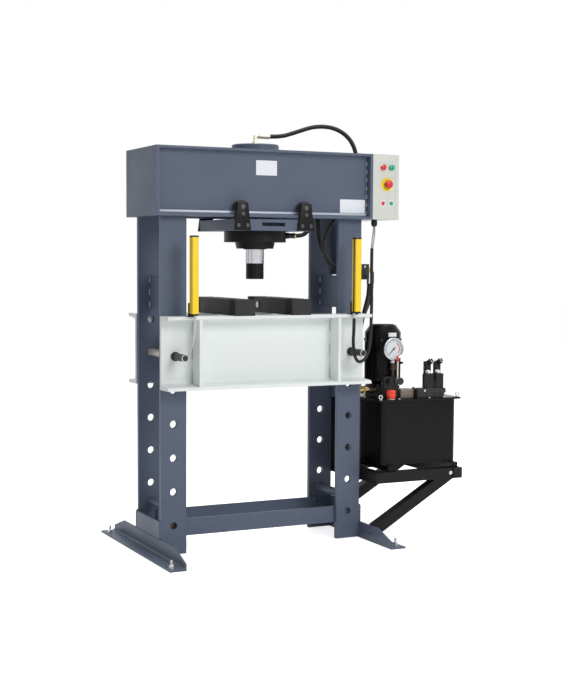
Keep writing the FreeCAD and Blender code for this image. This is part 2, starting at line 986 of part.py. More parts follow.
# Light curtains: upright housings with a dark window along the inner side.
curtain_back = bed_tips + s.curtain_bed_gap
curtain_dark = []
curtain_brackets = []
curtain_plugs = []
curtain_sides = (
    ("left", s.curtain_left_inset - column_out, 1),
    ("right", column_out - s.curtain_right_inset, -1),
)
for word, out, inner in curtain_sides:
    half = s.curtain_wide / 2
    deep = s.curtain_deep
    start = deep / 2 - s.window_wide / 2
    end = deep / 2 + s.window_wide / 2
    recess = half - s.window_deep
    outline = [
        (inner * -half, 0),
        (inner * half, 0),
        (inner * half, -start),
        (inner * recess, -start),
        (inner * recess, -end),
        (inner * half, -end),
        (inner * half, -deep),
        (inner * -half, -deep),
    ]
    case_low = s.curtain_low + s.curtain_cap
    case_tall = s.curtain_tall - s.curtain_cap * 2
    case_at = (out, -curtain_back, case_low)
    node(plate(f"light_curtain_{word}", case_at, "XY_Plane", outline, case_tall))
    window_edge = out + inner * half - (s.window_deep if inner > 0 else 0)
    window_at = (window_edge, -curtain_back - end, case_low)
    curtain_dark.append(block(f"window_{word}", window_at, s.window_deep, s.window_wide, case_tall))
    for end_word, z in (("low", s.curtain_low), ("high", case_low + case_tall)):
        cap_at = (out - half, -curtain_back - deep, z)
        cap = block(f"cap_{word}_{end_word}", cap_at, s.curtain_wide, deep, s.curtain_cap)
        curtain_dark.append(cap)
    wide = s.bracket_wide
    upright_at = (out - wide / 2, -bed_tips - s.curtain_bed_gap, bed_top)
    upright = block(f"bracket_{word}_upright", upright_at, wide, s.bracket_thick, s.bracket_tall)
    base_at = (out - wide / 2, -bed_tips - s.curtain_bed_gap, bed_top)
    base = block(f"bracket_{word}_base", base_at, wide, s.bracket_foot, s.bracket_thick)
    curtain_brackets.append(fuse(f"curtain_bracket_{word}", upright, base))
    plug_out = out + inner * s.plug_aside
    plug_at = (plug_out, -curtain_back - deep / 3, s.curtain_low - s.plug_long)
    curtain_plugs.append(rod(f"curtain_plug_{word}", plug_at, s.plug_radius, s.plug_long))
    if inner > 0:
        left_plug_out = plug_out
    else:
        right_plug_out = plug_out
node(group("curtain_windows", *curtain_dark))
node(group("curtain_brackets", *curtain_brackets))
node(group("curtain_plugs", *curtain_plugs))

# Control box: a sheet shell on the crown's end, open to the right behind its door.
box_left = crown_half
box_right = box_left + s.box_out
sheet_thick = s.box_sheet
box_front = -box_face
red_out = box_left + s.button_red_out
green_out = red_out + s.button_step
stop_out = red_out + s.button_step / 2
outer_at = (box_left, -box_face, s.crown_bottom)
outer = block("control_box_outer", outer_at, s.box_out, s.box_deep, s.crown_tall)
inner_at = (box_left + sheet_thick, -box_face + sheet_thick, s.crown_bottom + sheet_thick)
inner = block(
    "control_box_inner",
    inner_at,
    s.box_out,
    s.box_deep - sheet_thick * 2,
    s.crown_tall - sheet_thick * 2,
)
button_places = {
    "button_upper_red": (red_out, s.upper_row),
    "button_upper_green": (green_out, s.upper_row),
    "button_lower_red": (red_out, s.lower_row),
    "button_lower_green": (green_out, s.lower_row),
    "emergency_button": (stop_out, s.stop_row),
}
openings = []
for name, (x, z) in button_places.items():
    reach = s.stop_neck_radius if name == "emergency_button" else s.button_radius
    hole_at = (x, -box_face - sheet_thick, s.crown_bottom + z)
    hole_radius = reach + s.button_hole_gap
    openings.append(rod(name + "_opening", hole_at, hole_radius, sheet_thick * 3, TO_BACK))
shell = cut("control_box_shell", outer, inner, *openings)
hinge_x = box_right + s.door_hinge_radius / 2
hinge_y = box_face + s.door_hinge_radius
knuckle = s.hinge_knuckle
upper_hinge = s.crown_bottom + s.crown_tall - s.hinge_inset - knuckle
hinge_rows = (s.crown_bottom + s.hinge_inset, upper_hinge)
box_hinges = []
door_hinges = []
for number, z in enumerate(hinge_rows, start=1):
    door_start = z + knuckle / 2 + s.hinge_gap
    for kind, low, hinges in (("box", z, box_hinges), ("door", door_start, door_hinges)):
        long = knuckle / 2 - s.hinge_gap
        name = f"hinge_{kind}_{number}"
        barrel = rod(name + "_barrel", (hinge_x, hinge_y, low), s.door_hinge_radius, long)
        leaf_x = hinge_x - s.hinge_leaf if kind == "box" else hinge_x
        leaf_at = (leaf_x, box_face, low)
        leaf = block(name + "_leaf", leaf_at, s.hinge_leaf, s.hinge_leaf_thick, long)
        hinges.append(fuse(name, barrel, leaf))
node(fuse("control_box", shell, *box_hinges))

door_low = s.crown_bottom
door_outer_at = (box_right + s.door_gap, -box_face, door_low)
door_outer = block("door_outer", door_outer_at, s.door_deep, s.box_deep, s.crown_tall)
door_inner_at = (
    box_right + s.door_gap - sheet_thick,
    -box_face + sheet_thick,
    door_low + sheet_thick,
)
door_inner = block(
    "door_inner",
    door_inner_at,
    s.door_deep,
    s.box_deep - sheet_thick * 2,
    s.crown_tall - sheet_thick * 2,
)
door_shell = cut("door_shell", door_outer, door_inner)
node(fuse("control_box_door", door_shell, *door_hinges))

# Control gear: a mounting plate with a row of switching blocks over its terminals.
gear_x = box_left + sheet_thick + s.gear_gap
gear_low = s.crown_bottom + s.gear_margin
gear_face = gear_x + s.gear_plate
gear_tall = s.crown_tall - s.gear_margin * 2
gear_at = (gear_x, -s.gear_wide / 2, gear_low)
gear = [block("gear_plate", gear_at, s.gear_plate, s.gear_wide, gear_tall)]
gear_pitch = s.gear_block_wide + s.gear_block_gap
for number in range(int(s.gear_blocks.value)):
    across = gear_pitch * (number - (s.gear_blocks.value - 1) / 2) - s.gear_block_wide / 2
    at = (gear_face, across, gear_low + s.gear_block_low)
    name = f"gear_block_{number}"
    gear.append(block(name, at, s.gear_block_deep, s.gear_block_wide, s.gear_block_tall))
terminal_wide = s.gear_wide - s.terminal_margin * 2
terminal_at = (gear_face, -terminal_wide / 2, gear_low + s.terminal_low)
gear.append(block("gear_terminals", terminal_at, s.terminal_deep, terminal_wide, s.terminal_tall))
for number, z in enumerate((gear_low, gear_low + gear_tall - s.gear_margin), start=1):
    foot_at = (box_left + sheet_thick, -s.gear_wide / 2, z)
    gear.append(block(f"gear_foot_{number}", foot_at, s.gear_gap, s.gear_wide, s.gear_margin))
node(fuse("control_gear", *gear))

# Buttons on the box's front, each sliding in its collar.
collars = []
for name, (x, z) in button_places.items():
    at = (x, -box_face, s.crown_bottom + z)
    if name == "emergency_button":
        reach = s.stop_neck_radius
        ring_radius = s.stop_disc_radius
        ring_proud = s.stop_disc_proud
    else:
        reach = s.button_radius
        ring_radius = s.collar_radius
        ring_proud = s.collar_proud
    hole = reach + s.button_slide_gap
    ring = [(hole, 0), (ring_radius, 0), (ring_radius, ring_proud), (hole, ring_proud)]
    collars.append(turned(name + "_collar", at, ring, TO_FRONT))
    if name == "emergency_button":
        proud = s.stop_proud
        outline = [
            (0, -s.button_neck),
            (reach, -s.button_neck),
            (reach, proud - s.stop_under),
            (s.stop_radius - s.stop_crown, proud - s.stop_under + s.stop_dome),
            (s.stop_radius, proud - s.stop_rim),
            (s.stop_radius - s.stop_dome, proud - s.stop_crown),
            (s.stop_radius - s.stop_crown * 2, proud),
            (0, proud + s.stop_dome),
        ]
    else:
        proud = s.button_proud
        outline = [
            (0, -s.button_neck),
            (reach, -s.button_neck),
            (reach, proud - s.button_edge),
            (reach - s.button_edge, proud),
            (0, proud),
        ]
    node(turned(name, at, outline, TO_FRONT))
node(group("button_collars", *collars))

# Cable gland under the box.
gland_out = box_left + s.gland_radius + s.gland_inset
gland_y = -box_face + s.gland_radius
gland_neck = s.gland_radius - s.gland_step
gland_outline = [
    (0, 0),
    (s.gland_radius, 0),
    (s.gland_radius, s.gland_nut_long),
    (gland_neck, s.gland_nut_long),
    (gland_neck, s.gland_long - s.gland_cone),
    (gland_neck - s.gland_step, s.gland_long),
    (0, s.gland_long),
]
node(turned("cable_gland", (gland_out, gland_y, s.crown_bottom), gland_outline, ("x", 180)))

# Roller carriage: a frame under the crown, hung on four tapered plates.
side = s.carriage_side
bar = s.carriage_bar
carriage_left = s.cylinder_out - s.carriage_half
slot_at = s.cylinder_out + s.carriage_slot_out - s.carriage_slot_long / 2
slot_low = s.carriage_low + (s.carriage_tall - s.carriage_slot_tall) / 2
carriage_wide = s.carriage_half * 2
corner_step = s.carriage_corner * (1 - math.sin(math.pi / 4))
base_at = (carriage_left, -side, s.carriage_low)
carriage_pieces = [block("carriage_base", base_at, carriage_wide, side * 2, s.carriage_plate)]
for word, y in (("front", -side), ("rear", side - bar)):
    name = f"carriage_{word}"
    bar_at = (carriage_left, y, s.carriage_low)
    whole = block(name + "_blank", bar_at, carriage_wide, bar, s.carriage_tall)
    slot_corner = (slot_at, y - bar, slot_low)
    slot = block(name + "_slot", slot_corner, s.carriage_slot_long, bar * 3, s.carriage_slot_tall)
    carriage_pieces.append(cut(name + "_bar", whole, slot))
for word, x in (("left", carriage_left), ("right", s.cylinder_out + s.carriage_half - bar)):
    outline = [
        (-side, 0),
        (side - s.carriage_corner, 0),
        (side - corner_step, corner_step),
        (side, s.carriage_corner),
        (side, s.carriage_tall),
        (-side, s.carriage_tall),
    ]
    end_bar = plate(f"carriage_{word}_bar", (x, 0, s.carriage_low), "YZ_Plane", outline, bar)
    carriage_pieces.append(end_bar)
seat_at = (s.cylinder_out, 0, s.carriage_low - s.carriage_tall)
barrel_seat = rod("carriage_seat", seat_at, s.barrel_radius + s.seat_gap, s.carriage_tall * 3)
carriage_whole = fuse("carriage_whole", *carriage_pieces)
node(cut("carriage_frame", carriage_whole, barrel_seat))

roller_height = s.crown_bottom + s.crown_tip + (s.crown_lip - s.crown_web) / 2 * s.flange_slope
roller_height = roller_height + s.roller_radius + s.roller_gap
axle_long = s.roller_wide + s.axle_over
roller_taper = s.roller_wide / 2 * s.flange_slope
hangers = []
for word, across in (("left", -1), ("right", 1)):
    x = s.cylinder_out + across * s.hanger_offset
    rollers = []
    for end, along in (("front", -1), ("rear", 1)):
        name = f"hanger_{end}_{word}"
        half = s.hanger_wide / 2
        top = s.hanger_top_wide / 2
        outline = [(-half, 0), (half, 0), (top, s.hanger_tall), (-top, s.hanger_tall)]
        back = -side if along < 0 else side + s.hanger_thick
        hanger = plate(name, (x, back, s.carriage_low), "XZ_Plane", outline, s.hanger_thick)
        axle_at = (x, along * side, roller_height)
        facing = TO_BACK if along < 0 else TO_FRONT
        axle = rod(name + "_axle", axle_at, s.axle_radius, axle_long, facing)
        hangers.append(fuse(name + "_set", hanger, axle))
        inner_radius = s.axle_radius + s.axle_gap
        roller_outline = [
            (inner_radius, 0),
            (s.roller_radius + roller_taper, 0),
            (s.roller_radius - roller_taper, s.roller_wide),
            (inner_radius, s.roller_wide),
        ]
        roller_at = (x, along * (side - s.roller_end_gap), roller_height)
        rollers.append(turned(f"roller_{end}_{word}", roller_at, roller_outline, facing))
    node(group(f"rollers_{word}", *rollers))
node(group("carriage_hangers", *hangers))

# Cylinder: a closed barrel, a bolted head with its gland and collar, and the ram.
x = s.cylinder_out
piston_low = s.gland_reach + s.piston_end_gap + s.ram_down
piston_high = piston_low + s.piston_tall
bore_tall = piston_high + s.ram_up + s.piston_end_gap
barrel_tall = bore_tall + s.barrel_cap
barrel_top = s.carriage_low + barrel_tall
barrel_outline = [
    (s.bore_radius, 0),
    (s.barrel_radius, 0),
    (s.barrel_radius, barrel_tall - s.barrel_chamfer),
    (s.barrel_radius - s.barrel_chamfer, barrel_tall),
    (0, barrel_tall),
    (0, bore_tall),
    (s.bore_radius, bore_tall),
]
node(turned("cylinder_barrel", (x, 0, s.carriage_low), barrel_outline))

rod_hole = s.rod_radius + s.rod_gap
flange_top = s.collar_tall + s.head_tall
gland_radius = s.bore_radius - s.gland_slack
head_outline = [
    (rod_hole, 0),
    (s.collar_bottom_radius, 0),
    (s.collar_top_radius, s.collar_tall),
    (s.head_radius, s.collar_tall),
    (s.head_radius, flange_top),
    (gland_radius, flange_top),
    (gland_radius, flange_top + s.gland_reach),
    (rod_hole, flange_top + s.gland_reach),
]
head_turned = turned("head_turned", (x, 0, collar_bottom), head_outline)
port_z = s.carriage_low - s.port_drop
port_start = x + s.head_radius - s.port_deep
port_at = (port_start, -s.port_front, port_z)
holes = [rod("port_hole", port_at, s.port_radius, s.head_radius, TO_RIGHT)]
bolts = []
for number in range(int(s.head_bolt_count.value)):
    angle = math.radians(360 / s.head_bolt_count.value * (number + 0.5))
    bolt_x = x + s.head_bolt_circle * math.cos(angle)
    bolt_y = s.head_bolt_circle * math.sin(angle)
    hole_at = (bolt_x, bolt_y, head_bottom)
    name = f"head_bolt_{number}"
    holes.append(rod(name + "_hole", hole_at, s.head_bolt_hole_radius, s.head_bolt_recess))
    bolt_at = (bolt_x, bolt_y, head_bottom + s.head_bolt_recess - s.head_bolt_tall)
    bolts.append(rod(name, bolt_at, s.head_bolt_radius, s.head_bolt_tall))
node(group("cylinder_head", cut("head_drilled", head_turned, *holes), *bolts))

piston_radius = s.bore_radius - s.piston_gap
rod_long = s.carriage_low + piston_low - nose_top
rod_outline = [
    (0, 0),
    (s.rod_radius, 0),
    (s.rod_radius, rod_long),
    (piston_radius, rod_long),
    (piston_radius, rod_long + s.piston_tall),
    (0, rod_long + s.piston_tall),
]
node(turned("ram_rod", (x, 0, nose_top), rod_outline))

nose = s.nose_radius
nose_outline = [(0, 0), (nose - s.nose_chamfer, 0), (nose, s.nose_chamfer)]
for height in (s.lower_groove, s.upper_groove):
    nose_outline += [
        (nose, height),
        (nose - s.nose_groove, height),
        (nose - s.nose_groove, height + s.groove_wide),
        (nose, height + s.groove_wide),
    ]
nose_outline += [(nose, s.nose_tall), (0, s.nose_tall)]
node(turned("ram_nose", (x, 0, nose_top - s.nose_tall), nose_outline))

# Fittings on the cylinder: an elbow on the cap and a straight one in the head.
elbow_height = barrel_top + s.elbow_rise
sleeve_long = s.elbow_long - s.elbow_sleeve_start
elbow_sleeve_at = (x + s.elbow_sleeve_start, 0, elbow_height)
elbow = fuse(
    "top_elbow",
    hexagon("top_nut", (x, 0, barrel_top), s.elbow_nut_across, s.elbow_nut_tall),
    rod("top_stem", (x, 0, barrel_top), s.elbow_stem_radius, s.elbow_rise),
    document.addObject("Part::Sphere", "top_corner"),
    rod("top_run", (x, 0, elbow_height), s.elbow_stem_radius, s.elbow_long, TO_RIGHT),
    rod("top_sleeve", elbow_sleeve_at, s.elbow_sleeve_radius, sleeve_long, TO_RIGHT),
)
top_corner = document.getObject("top_corner")
bind(top_corner, "Radius", s.elbow_stem_radius)
place(top_corner, (x, 0, elbow_height))
nut_at = (x + s.head_radius, -s.port_front, port_z)
side_sleeve_at = (port_start + s.port_sleeve_start, -s.port_front, port_z)
side_fitting = fuse(
    "side_fitting",
    rod("side_stem", port_at, s.port_radius, s.port_stem_long, TO_RIGHT),
    hexagon("side_nut", nut_at, s.port_nut_across, s.port_nut_long, TO_RIGHT),
    rod("side_sleeve", side_sleeve_at, s.port_sleeve_radius, s.port_sleeve_long, TO_RIGHT),
)
node(group("cylinder_fittings", elbow, side_fitting))

# Junction block on the right column's strap.
block_start = column_edge + s.strap_thick
junction_right = block_start + s.junction_wide
junction_at = (block_start, -s.junction_front, s.junction_low)
junction = block("junction_body", junction_at, s.junction_wide, s.junction_deep, s.junction_tall)
node(group("junction_block", junction))

# Fittings: two on the junction block's left, two hanging at its right, and the
# elbows that take the pack's hoses to the manifold.
fittings = []
inlet_z = s.junction_low + s.inlet_height
ferrule_radius = s.hose_radius + s.ferrule_wall
for word, row in (("front", s.inlet_front), ("rear", s.inlet_rear)):
    stem_at = (block_start - s.inlet_long, -row, inlet_z)
    stem = rod(f"inlet_stem_{word}", stem_at, ferrule_radius, s.inlet_long, TO_RIGHT)
    nut_at = (block_start - s.inlet_nut_long, -row, inlet_z)
    nut = hexagon(f"inlet_nut_{word}", nut_at, s.inlet_nut_across, s.inlet_nut_long, TO_RIGHT)
    fittings.append(fuse(f"inlet_{word}", stem, nut))
outlet_z = s.junction_low + s.junction_tall - s.outlet_drop
outlet_low = s.junction_low - s.outlet_below
outlet_rows = (
    ("front", s.outlet_near, s.outlet_front),
    ("rear", s.outlet_far, s.outlet_rear),
)
for word, out, row in outlet_rows:
    stub_at = (junction_right, -row, outlet_z)
    stub = rod(f"outlet_stub_{word}", stub_at, s.outlet_stub_radius, out, TO_RIGHT)
    drop_at = (junction_right + out, -row, outlet_low)
    drop_tall = outlet_z - outlet_low + s.outlet_stub_radius
    drop = rod(f"outlet_drop_{word}", drop_at, ferrule_radius, drop_tall)
    fittings.append(fuse(f"outlet_{word}", stub, drop))
manifold_left = motor_out - s.manifold_side / 2
elbow_out = lid_left - s.pack_elbow_gap
elbow_z = lid_top + s.pack_elbow_height
for word, row in (("front", s.pack_front_row), ("rear", s.pack_rear_row)):
    drop_at = (elbow_out, -row, elbow_z - s.pack_elbow_over)
    drop_tall = s.pack_elbow_over + s.pack_elbow_rise
    drop = rod(f"pack_drop_{word}", drop_at, ferrule_radius, drop_tall)
    run_long = manifold_left - elbow_out
    run = rod(f"pack_run_{word}", (elbow_out, -row, elbow_z), s.port_radius, run_long, TO_RIGHT)
    nut_at = (elbow_out + s.pack_nut_start, -row, elbow_z)
    nut = hexagon(f"pack_nut_{word}", nut_at, s.pack_nut_across, s.pack_nut_long, TO_RIGHT)
    collar_at = (elbow_out + s.pack_collar_start, -row, elbow_z)
    collar_long = s.pack_collar_long
    collar = rod(f"pack_collar_{word}", collar_at, s.pack_collar_radius, collar_long, TO_RIGHT)
    fittings.append(fuse(f"pack_fitting_{word}", drop, run, nut, collar))
node(group("hose_fittings", *fittings))

# Hoses and cables, drawn as straight runs joined by tangent arcs.
def tube(name, radius, points):
    """A round hose along its route, with its bends and length printed."""
    stops = [FreeCAD.Vector(*point) for point in points]
    edges = []
    bends = []
    start = stops[0]
    for before, corner, after in zip(stops, stops[1:], stops[2:]):
        come = corner - before
        go = after - corner
        half_turn = come.getAngle(go) / 2
        reach = 0.45 * min(come.Length, go.Length)
        bends.append(reach / math.tan(half_turn))
        come.normalize()
        go.normalize()
        into = corner - come * reach
        out = corner + go * reach
        inward = (go - come).normalize()
        depth = bends[-1] / math.cos(half_turn) - bends[-1]
        edges.append(Part.makeLine(start, into))
        edges.append(Part.Arc(into, corner + inward * depth, out).toShape())
        start = out
    edges.append(Part.makeLine(start, stops[-1]))
    path = Part.Wire(edges)
    facing = stops[1] - stops[0]
    ring = Part.Wire([Part.makeCircle(radius, stops[0], facing)])
    sweep = Part.BRepOffsetAPI.MakePipeShell(path)
    sweep.add(ring)
    sweep.build()
    sweep.makeSolid()
    solid = sweep.shape()
    ideal = math.pi * radius**2 * path.Length
    print(
        f"{name}: {path.Length:.0f} mm long, tightest bend {min(bends):.0f} mm,"
        f" volume {solid.Volume / ideal:.4f} of section by length"
    )
    return solid


def hose(name, *solids):
    item = document.addObject("Part::Feature", name)
    item.Shape = solids[0] if len(solids) == 1 else Part.makeCompound(list(solids))
    return node(item)


hose_radius = s.hose_radius.value
edge = column_edge.value
top_start = (s.cylinder_out + s.elbow_long).value
top_z = elbow_height.value
hose_end = (block_start - s.inlet_long).value
inlet_low = inlet_z.value
front_row = -s.inlet_front.value
rear_row = -s.inlet_rear.value
top_route = [
    (top_start, 0, top_z),
    (top_start + 58, 0, top_z),
    (top_start + 134, -9, 1891),
    (top_start + 218, -26, 1920),
    (edge - 105.5, -46, 1919),
    (edge - 47.5, -68, 1890),
    (edge - 11.5, -86, 1842),
    (edge + 3.5, -95, 1778),
    (edge - 1.5, -96, 1700),
    (edge - 27.5, -92, 1622),
    (edge - 65.5, -84, 1552),
    (edge - 105.5, -76, 1490),
    (edge - 137.5, -72, 1436),
    (edge - 155.5, -70, 1385),
    (edge - 155.5, -73, 1335),
    (edge - 133.5, -81, 1292),
    (edge - 99.5, -92, 1262),
    (edge - 65.5, -101, 1246),
    (edge - 39.5, front_row, inlet_low),
    (hose_end, front_row, inlet_low),
]
hose("hose_top", tube("hose_top", hose_radius, top_route))

side_start = (port_start + s.port_stem_long).value
side_y = -s.port_front.value
side_z = port_z.value
side_route = [
    (side_start, side_y, side_z),
    (side_start + 26, side_y, side_z),
    (side_start + 52, -37, 1424),
    (side_start + 68, -46, 1451),
    (side_start + 72, -52, 1494),
    (side_start + 71, -50, 1546),
    (side_start + 80, -34, 1592),
    (side_start + 102, -6, 1616),
    (edge - 153.5, 24, 1606),
    (edge - 135.5, 42, 1568),
    (edge - 129.5, 44, 1518),
    (edge - 133.5, 30, 1462),
    (edge - 140.5, 8, 1410),
    (edge - 139.5, -14, 1360),
    (edge - 121.5, -33, 1314),
    (edge - 95.5, -43, 1280),
    (edge - 65.5, rear_row, 1256),
    (edge - 38.5, rear_row, inlet_low),
    (hose_end, rear_row, inlet_low),
]
hose("hose_rod_side", tube("hose_rod_side", hose_radius, side_route))

front_x = (junction_right + s.outlet_near).value
rear_x = (junction_right + s.outlet_far).value
front_y = -s.outlet_front.value
rear_y = -s.outlet_rear.value
outlet_end = outlet_low.value
elbow_x = elbow_out.value
pack_end = (elbow_z + s.pack_elbow_rise).value
front_route = [
    (front_x, front_y, outlet_end),
    (front_x, front_y, outlet_end - 46),
    (front_x - 16, -110, 1086),
    (edge + 29.5, -108, 1010),
    (edge + 18.5, -108, 930),
    (edge + 13.5, -110, 850),
    (elbow_x, -s.pack_front_row.value, 775),
    (elbow_x, -s.pack_front_row.value, pack_end),
]
rear_route = [
    (rear_x, rear_y, outlet_end),
    (rear_x, rear_y, outlet_end - 46),
    (rear_x - 18, -79, 1084),
    (edge + 45.5, -70, 1010),
    (edge + 27.5, -62, 930),
    (edge + 18.5, -59, 850),
    (elbow_x, -s.pack_rear_row.value, 775),
    (elbow_x, -s.pack_rear_row.value, pack_end),
]
hose(
    "pack_hoses",
    tube("pack_hose_front", hose_radius, front_route),
    tube("pack_hose_rear", hose_radius, rear_route),
)

gland_x = gland_out.value
gland_back = gland_y.value
gland_low = (s.crown_bottom - s.gland_long).value
sleeve_top = 1356
plug_y = plug_at[1].value
plug_low = (s.curtain_low - s.plug_long).value
wires = []
for number, across in enumerate((-s.wire_spacing.value / 2, s.wire_spacing.value / 2), start=1):
    wire_route = [
        (gland_x + across, gland_back, gland_low),
        (gland_x + across, gland_back, gland_low - 25),
        (gland_x + across * 1.6 - 9, gland_back - 8, gland_low - 58),
        (edge + 29.5 + across, -200, sleeve_top),
    ]
    wires.append(tube(f"wire_{number}", s.wire_radius.value, wire_route))
right_plug_x = right_plug_out.value
sleeve_route = [
    (edge + 29.5, -200, sleeve_top),
    (edge + 27.5, -201, 1240),
    (edge + 30.5, -202, 1120),
    (edge + 27.5, -203, 1015),
    (edge + 23.5, -207, 944),
    (edge + 12.5, -214, 893),
    (edge - 7.5, -226, 859),
    (edge - 34.5, -240, 840),
    (edge - 64.5, -254, 836),
    (edge - 86.5, -263, 853),
    (edge - 99.5, -269, 890),
    (edge - 103.5, -270, 940),
    (right_plug_x, plug_y, 985),
    (right_plug_x, plug_y, plug_low),
]
sleeve = tube("control_sleeve", s.sleeve_radius.value, sleeve_route)
hose("control_cable", *wires, sleeve)

left_plug_x = left_plug_out.value
left_route = [
    (left_plug_x, plug_y, plug_low),
    (left_plug_x, plug_y, 1002),
    (left_plug_x - 8, -271, 958),
    (-edge + 95.5, -264, 908),
    (-edge + 87.5, -238, 876),
    (-edge + 87.5, -206, 862),
    (-edge + 87.5, -bed_face.value, 862),
]
hose("curtain_cable_left", tube("curtain_cable_left", s.curtain_wire_radius.value, left_route))


# Bracket of square tube that carries the power pack at the right foot.
def square_tube(name, at, side_a, side_b, long, turn=None):
    """A hollow square tube along its own Z axis."""
    a = side_a / 2
    b = side_b / 2
    wall = s.tube_wall
    outer = body(name, at, turn)
    drawing = sketch(outer, "XY_Plane", [(-a, -b), (a, -b), (a, b), (-a, b)])
    pad(outer, drawing, long)
    hollow = sketch(
        outer,
        "XY_Plane",
        [(-a + wall, -b + wall), (a - wall, -b + wall), (a - wall, b - wall), (-a + wall, b - wall)],
    )
    pocket(outer, hollow)
    return outer


half_tube = s.tube_side / 2
arm_z = s.bracket_low + half_tube
arm_left = column_edge + s.side_plate_thick
left_arm_x = arm_left + half_tube
right_arm_x = right_arm_out + half_tube
arm_long = s.pack_front + s.pack_rear
side = s.tube_side
pack_tubes = []
for word, out in (("left", left_arm_x), ("right", right_arm_x)):
    arm_at = (out, -s.pack_front, arm_z)
    pack_tubes.append(square_tube(f"pack_arm_{word}", arm_at, side, side, arm_long, TO_BACK))
plug_side = side - s.tube_wall * 2
flange_at = (right_arm_out, -s.pack_front - s.tube_plug_flange, s.bracket_low)
plug_flange = block("arm_plug_flange", flange_at, side, s.tube_plug_flange, side)
spigot_at = (right_arm_out + s.tube_wall, -s.pack_front, s.bracket_low + s.tube_wall)
spigot = block("arm_plug_spigot", spigot_at, plug_side, s.tube_plug_long, plug_side)
pack_tubes.append(fuse("arm_plug", plug_flange, spigot))
bar_long = right_arm_out - arm_left - side
for word, y in (("front", -s.pack_front + half_tube), ("rear", s.pack_rear - half_tube)):
    at = (arm_left + side, y, arm_z)
    pack_tubes.append(square_tube(f"pack_bar_{word}", at, side, side, bar_long, TO_RIGHT))
for word, y in (("front", -plate_face), ("rear", plate_back)):
    pad_at = (column_edge, y, s.bracket_low)
    pad_name = f"pack_pad_{word}"
    pack_tubes.append(block(pad_name, pad_at, s.side_plate_thick, s.column_plate, side))
strut_start = column_edge + s.foot_thick
strut_slope = s.strut_rise / s.strut_run
strut_high = s.bracket_low - s.strut_low
for word, y in (("front", -s.pack_front + side), ("rear", s.pack_rear)):
    outline = [
        (0, s.strut_low),
        (strut_high / strut_slope, s.bracket_low),
        ((strut_high - s.strut_thick) / strut_slope, s.bracket_low),
        (0, s.strut_low + s.strut_thick),
    ]
    pack_tubes.append(plate(f"pack_strut_{word}", (strut_start, y, 0), "XZ_Plane", outline, side))
node(group("pack_bracket", *pack_tubes))

# Tank: a folded sheet box with round upright corners, on two rests.
tank_wide = tank_right - tank_left
tank_deep = s.tank_front + s.tank_rear
tank_body = body("tank_shell", (tank_left, -s.tank_front, s.tank_low))
tank_outline = [(0, 0), (tank_wide, 0), (tank_wide, tank_deep), (0, tank_deep)]
pad(tank_body, sketch(tank_body, "XY_Plane", tank_outline), s.tank_tall)
tank_corners = [
    {"x": x, "y": y, "z": s.tank_tall / 2}
    for x in (0, tank_wide)
    for y in (0, tank_deep)
]
finish_edges(tank_body, "Fillet", s.tank_corner, tank_corners)
wall = s.tank_sheet
hollow_at = (tank_left + wall, -s.tank_front + wall, s.tank_low + wall)
hollow_wide = tank_wide - wall * 2
hollow_deep = tank_deep - wall * 2
hollow_body = body("tank_hollow", hollow_at)
hollow_outline = [(0, 0), (hollow_wide, 0), (hollow_wide, hollow_deep), (0, hollow_deep)]
pad(hollow_body, sketch(hollow_body, "XY_Plane", hollow_outline), s.tank_tall)
hollow_corners = [
    {"x": x, "y": y, "z": s.tank_tall / 2}
    for x in (0, hollow_wide)
    for y in (0, hollow_deep)
]
finish_edges(hollow_body, "Fillet", s.tank_corner - wall, hollow_corners)
tank_shell = cut("tank_open", tank_body, hollow_body)
rest_low = s.bracket_low + side
rest_tall = s.tank_low - rest_low
rest_long = arm_long - s.rest_end_gap * 2
right_rest = tank_right - s.rest_inset - s.rest_wide
rests = []
for word, x in (("left", tank_left + s.rest_inset), ("right", right_rest)):
    rest_at = (x, -s.pack_front + s.rest_end_gap, rest_low)
    rests.append(block(f"tank_rest_{word}", rest_at, s.rest_wide, rest_long, rest_tall))
node(group("oil_tank", tank_shell, *rests))

# Lid, with its bolts and two lifting eyes.
lid_wide = lid_right - lid_left
lid_deep = s.lid_front + s.lid_rear
lid_low = s.tank_low + s.tank_tall
lid_outline = [(0, 0), (lid_wide, 0), (lid_wide, lid_deep), (0, lid_deep)]
suction_radius = s.pump_spigot_radius + s.suction_hole_gap
suction = (motor_out - lid_left, s.lid_front - s.motor_back, suction_radius)
lid_at = (lid_left, -s.lid_front, lid_low)
lid = plate("lid_sheet", lid_at, "XY_Plane", lid_outline, s.lid_thick, [suction])
lid_fasteners = []
bolt_spots = (
    ("left", lid_left + s.lid_bolt_inset, (s.lid_rear - s.lid_front) / 2),
    ("right", lid_right - s.lid_bolt_inset, (s.lid_rear - s.lid_front) / 2),
    ("rear_left", lid_left + lid_wide / 4, s.lid_rear - s.lid_bolt_inset),
    ("rear_right", lid_right - lid_wide / 4, s.lid_rear - s.lid_bolt_inset),
)
for word, x, y in bolt_spots:
    bolt_name = f"lid_bolt_{word}"
    lid_fasteners.append(hexagon(bolt_name, (x, y, lid_top), s.lid_bolt_across, s.lid_bolt_tall))
eye_y = -s.lid_front + s.eye_inset
eye_z = lid_top + s.eye_neck_tall + s.eye_radius
for word, x in (("left", lid_left + s.eye_inset), ("right", lid_right - s.eye_inset)):
    neck = rod(f"eye_neck_{word}", (x, eye_y, lid_top), s.eye_neck_radius, s.eye_neck_tall)
    ring = document.addObject("Part::Torus", f"eye_ring_{word}")
    bind(ring, "Radius1", s.eye_radius)
    bind(ring, "Radius2", s.eye_wire)
    place(ring, (x, eye_y, eye_z), TO_FRONT)
    lid_fasteners.append(fuse(f"lifting_eye_{word}", neck, ring))
node(group("tank_lid", lid, *lid_fasteners))

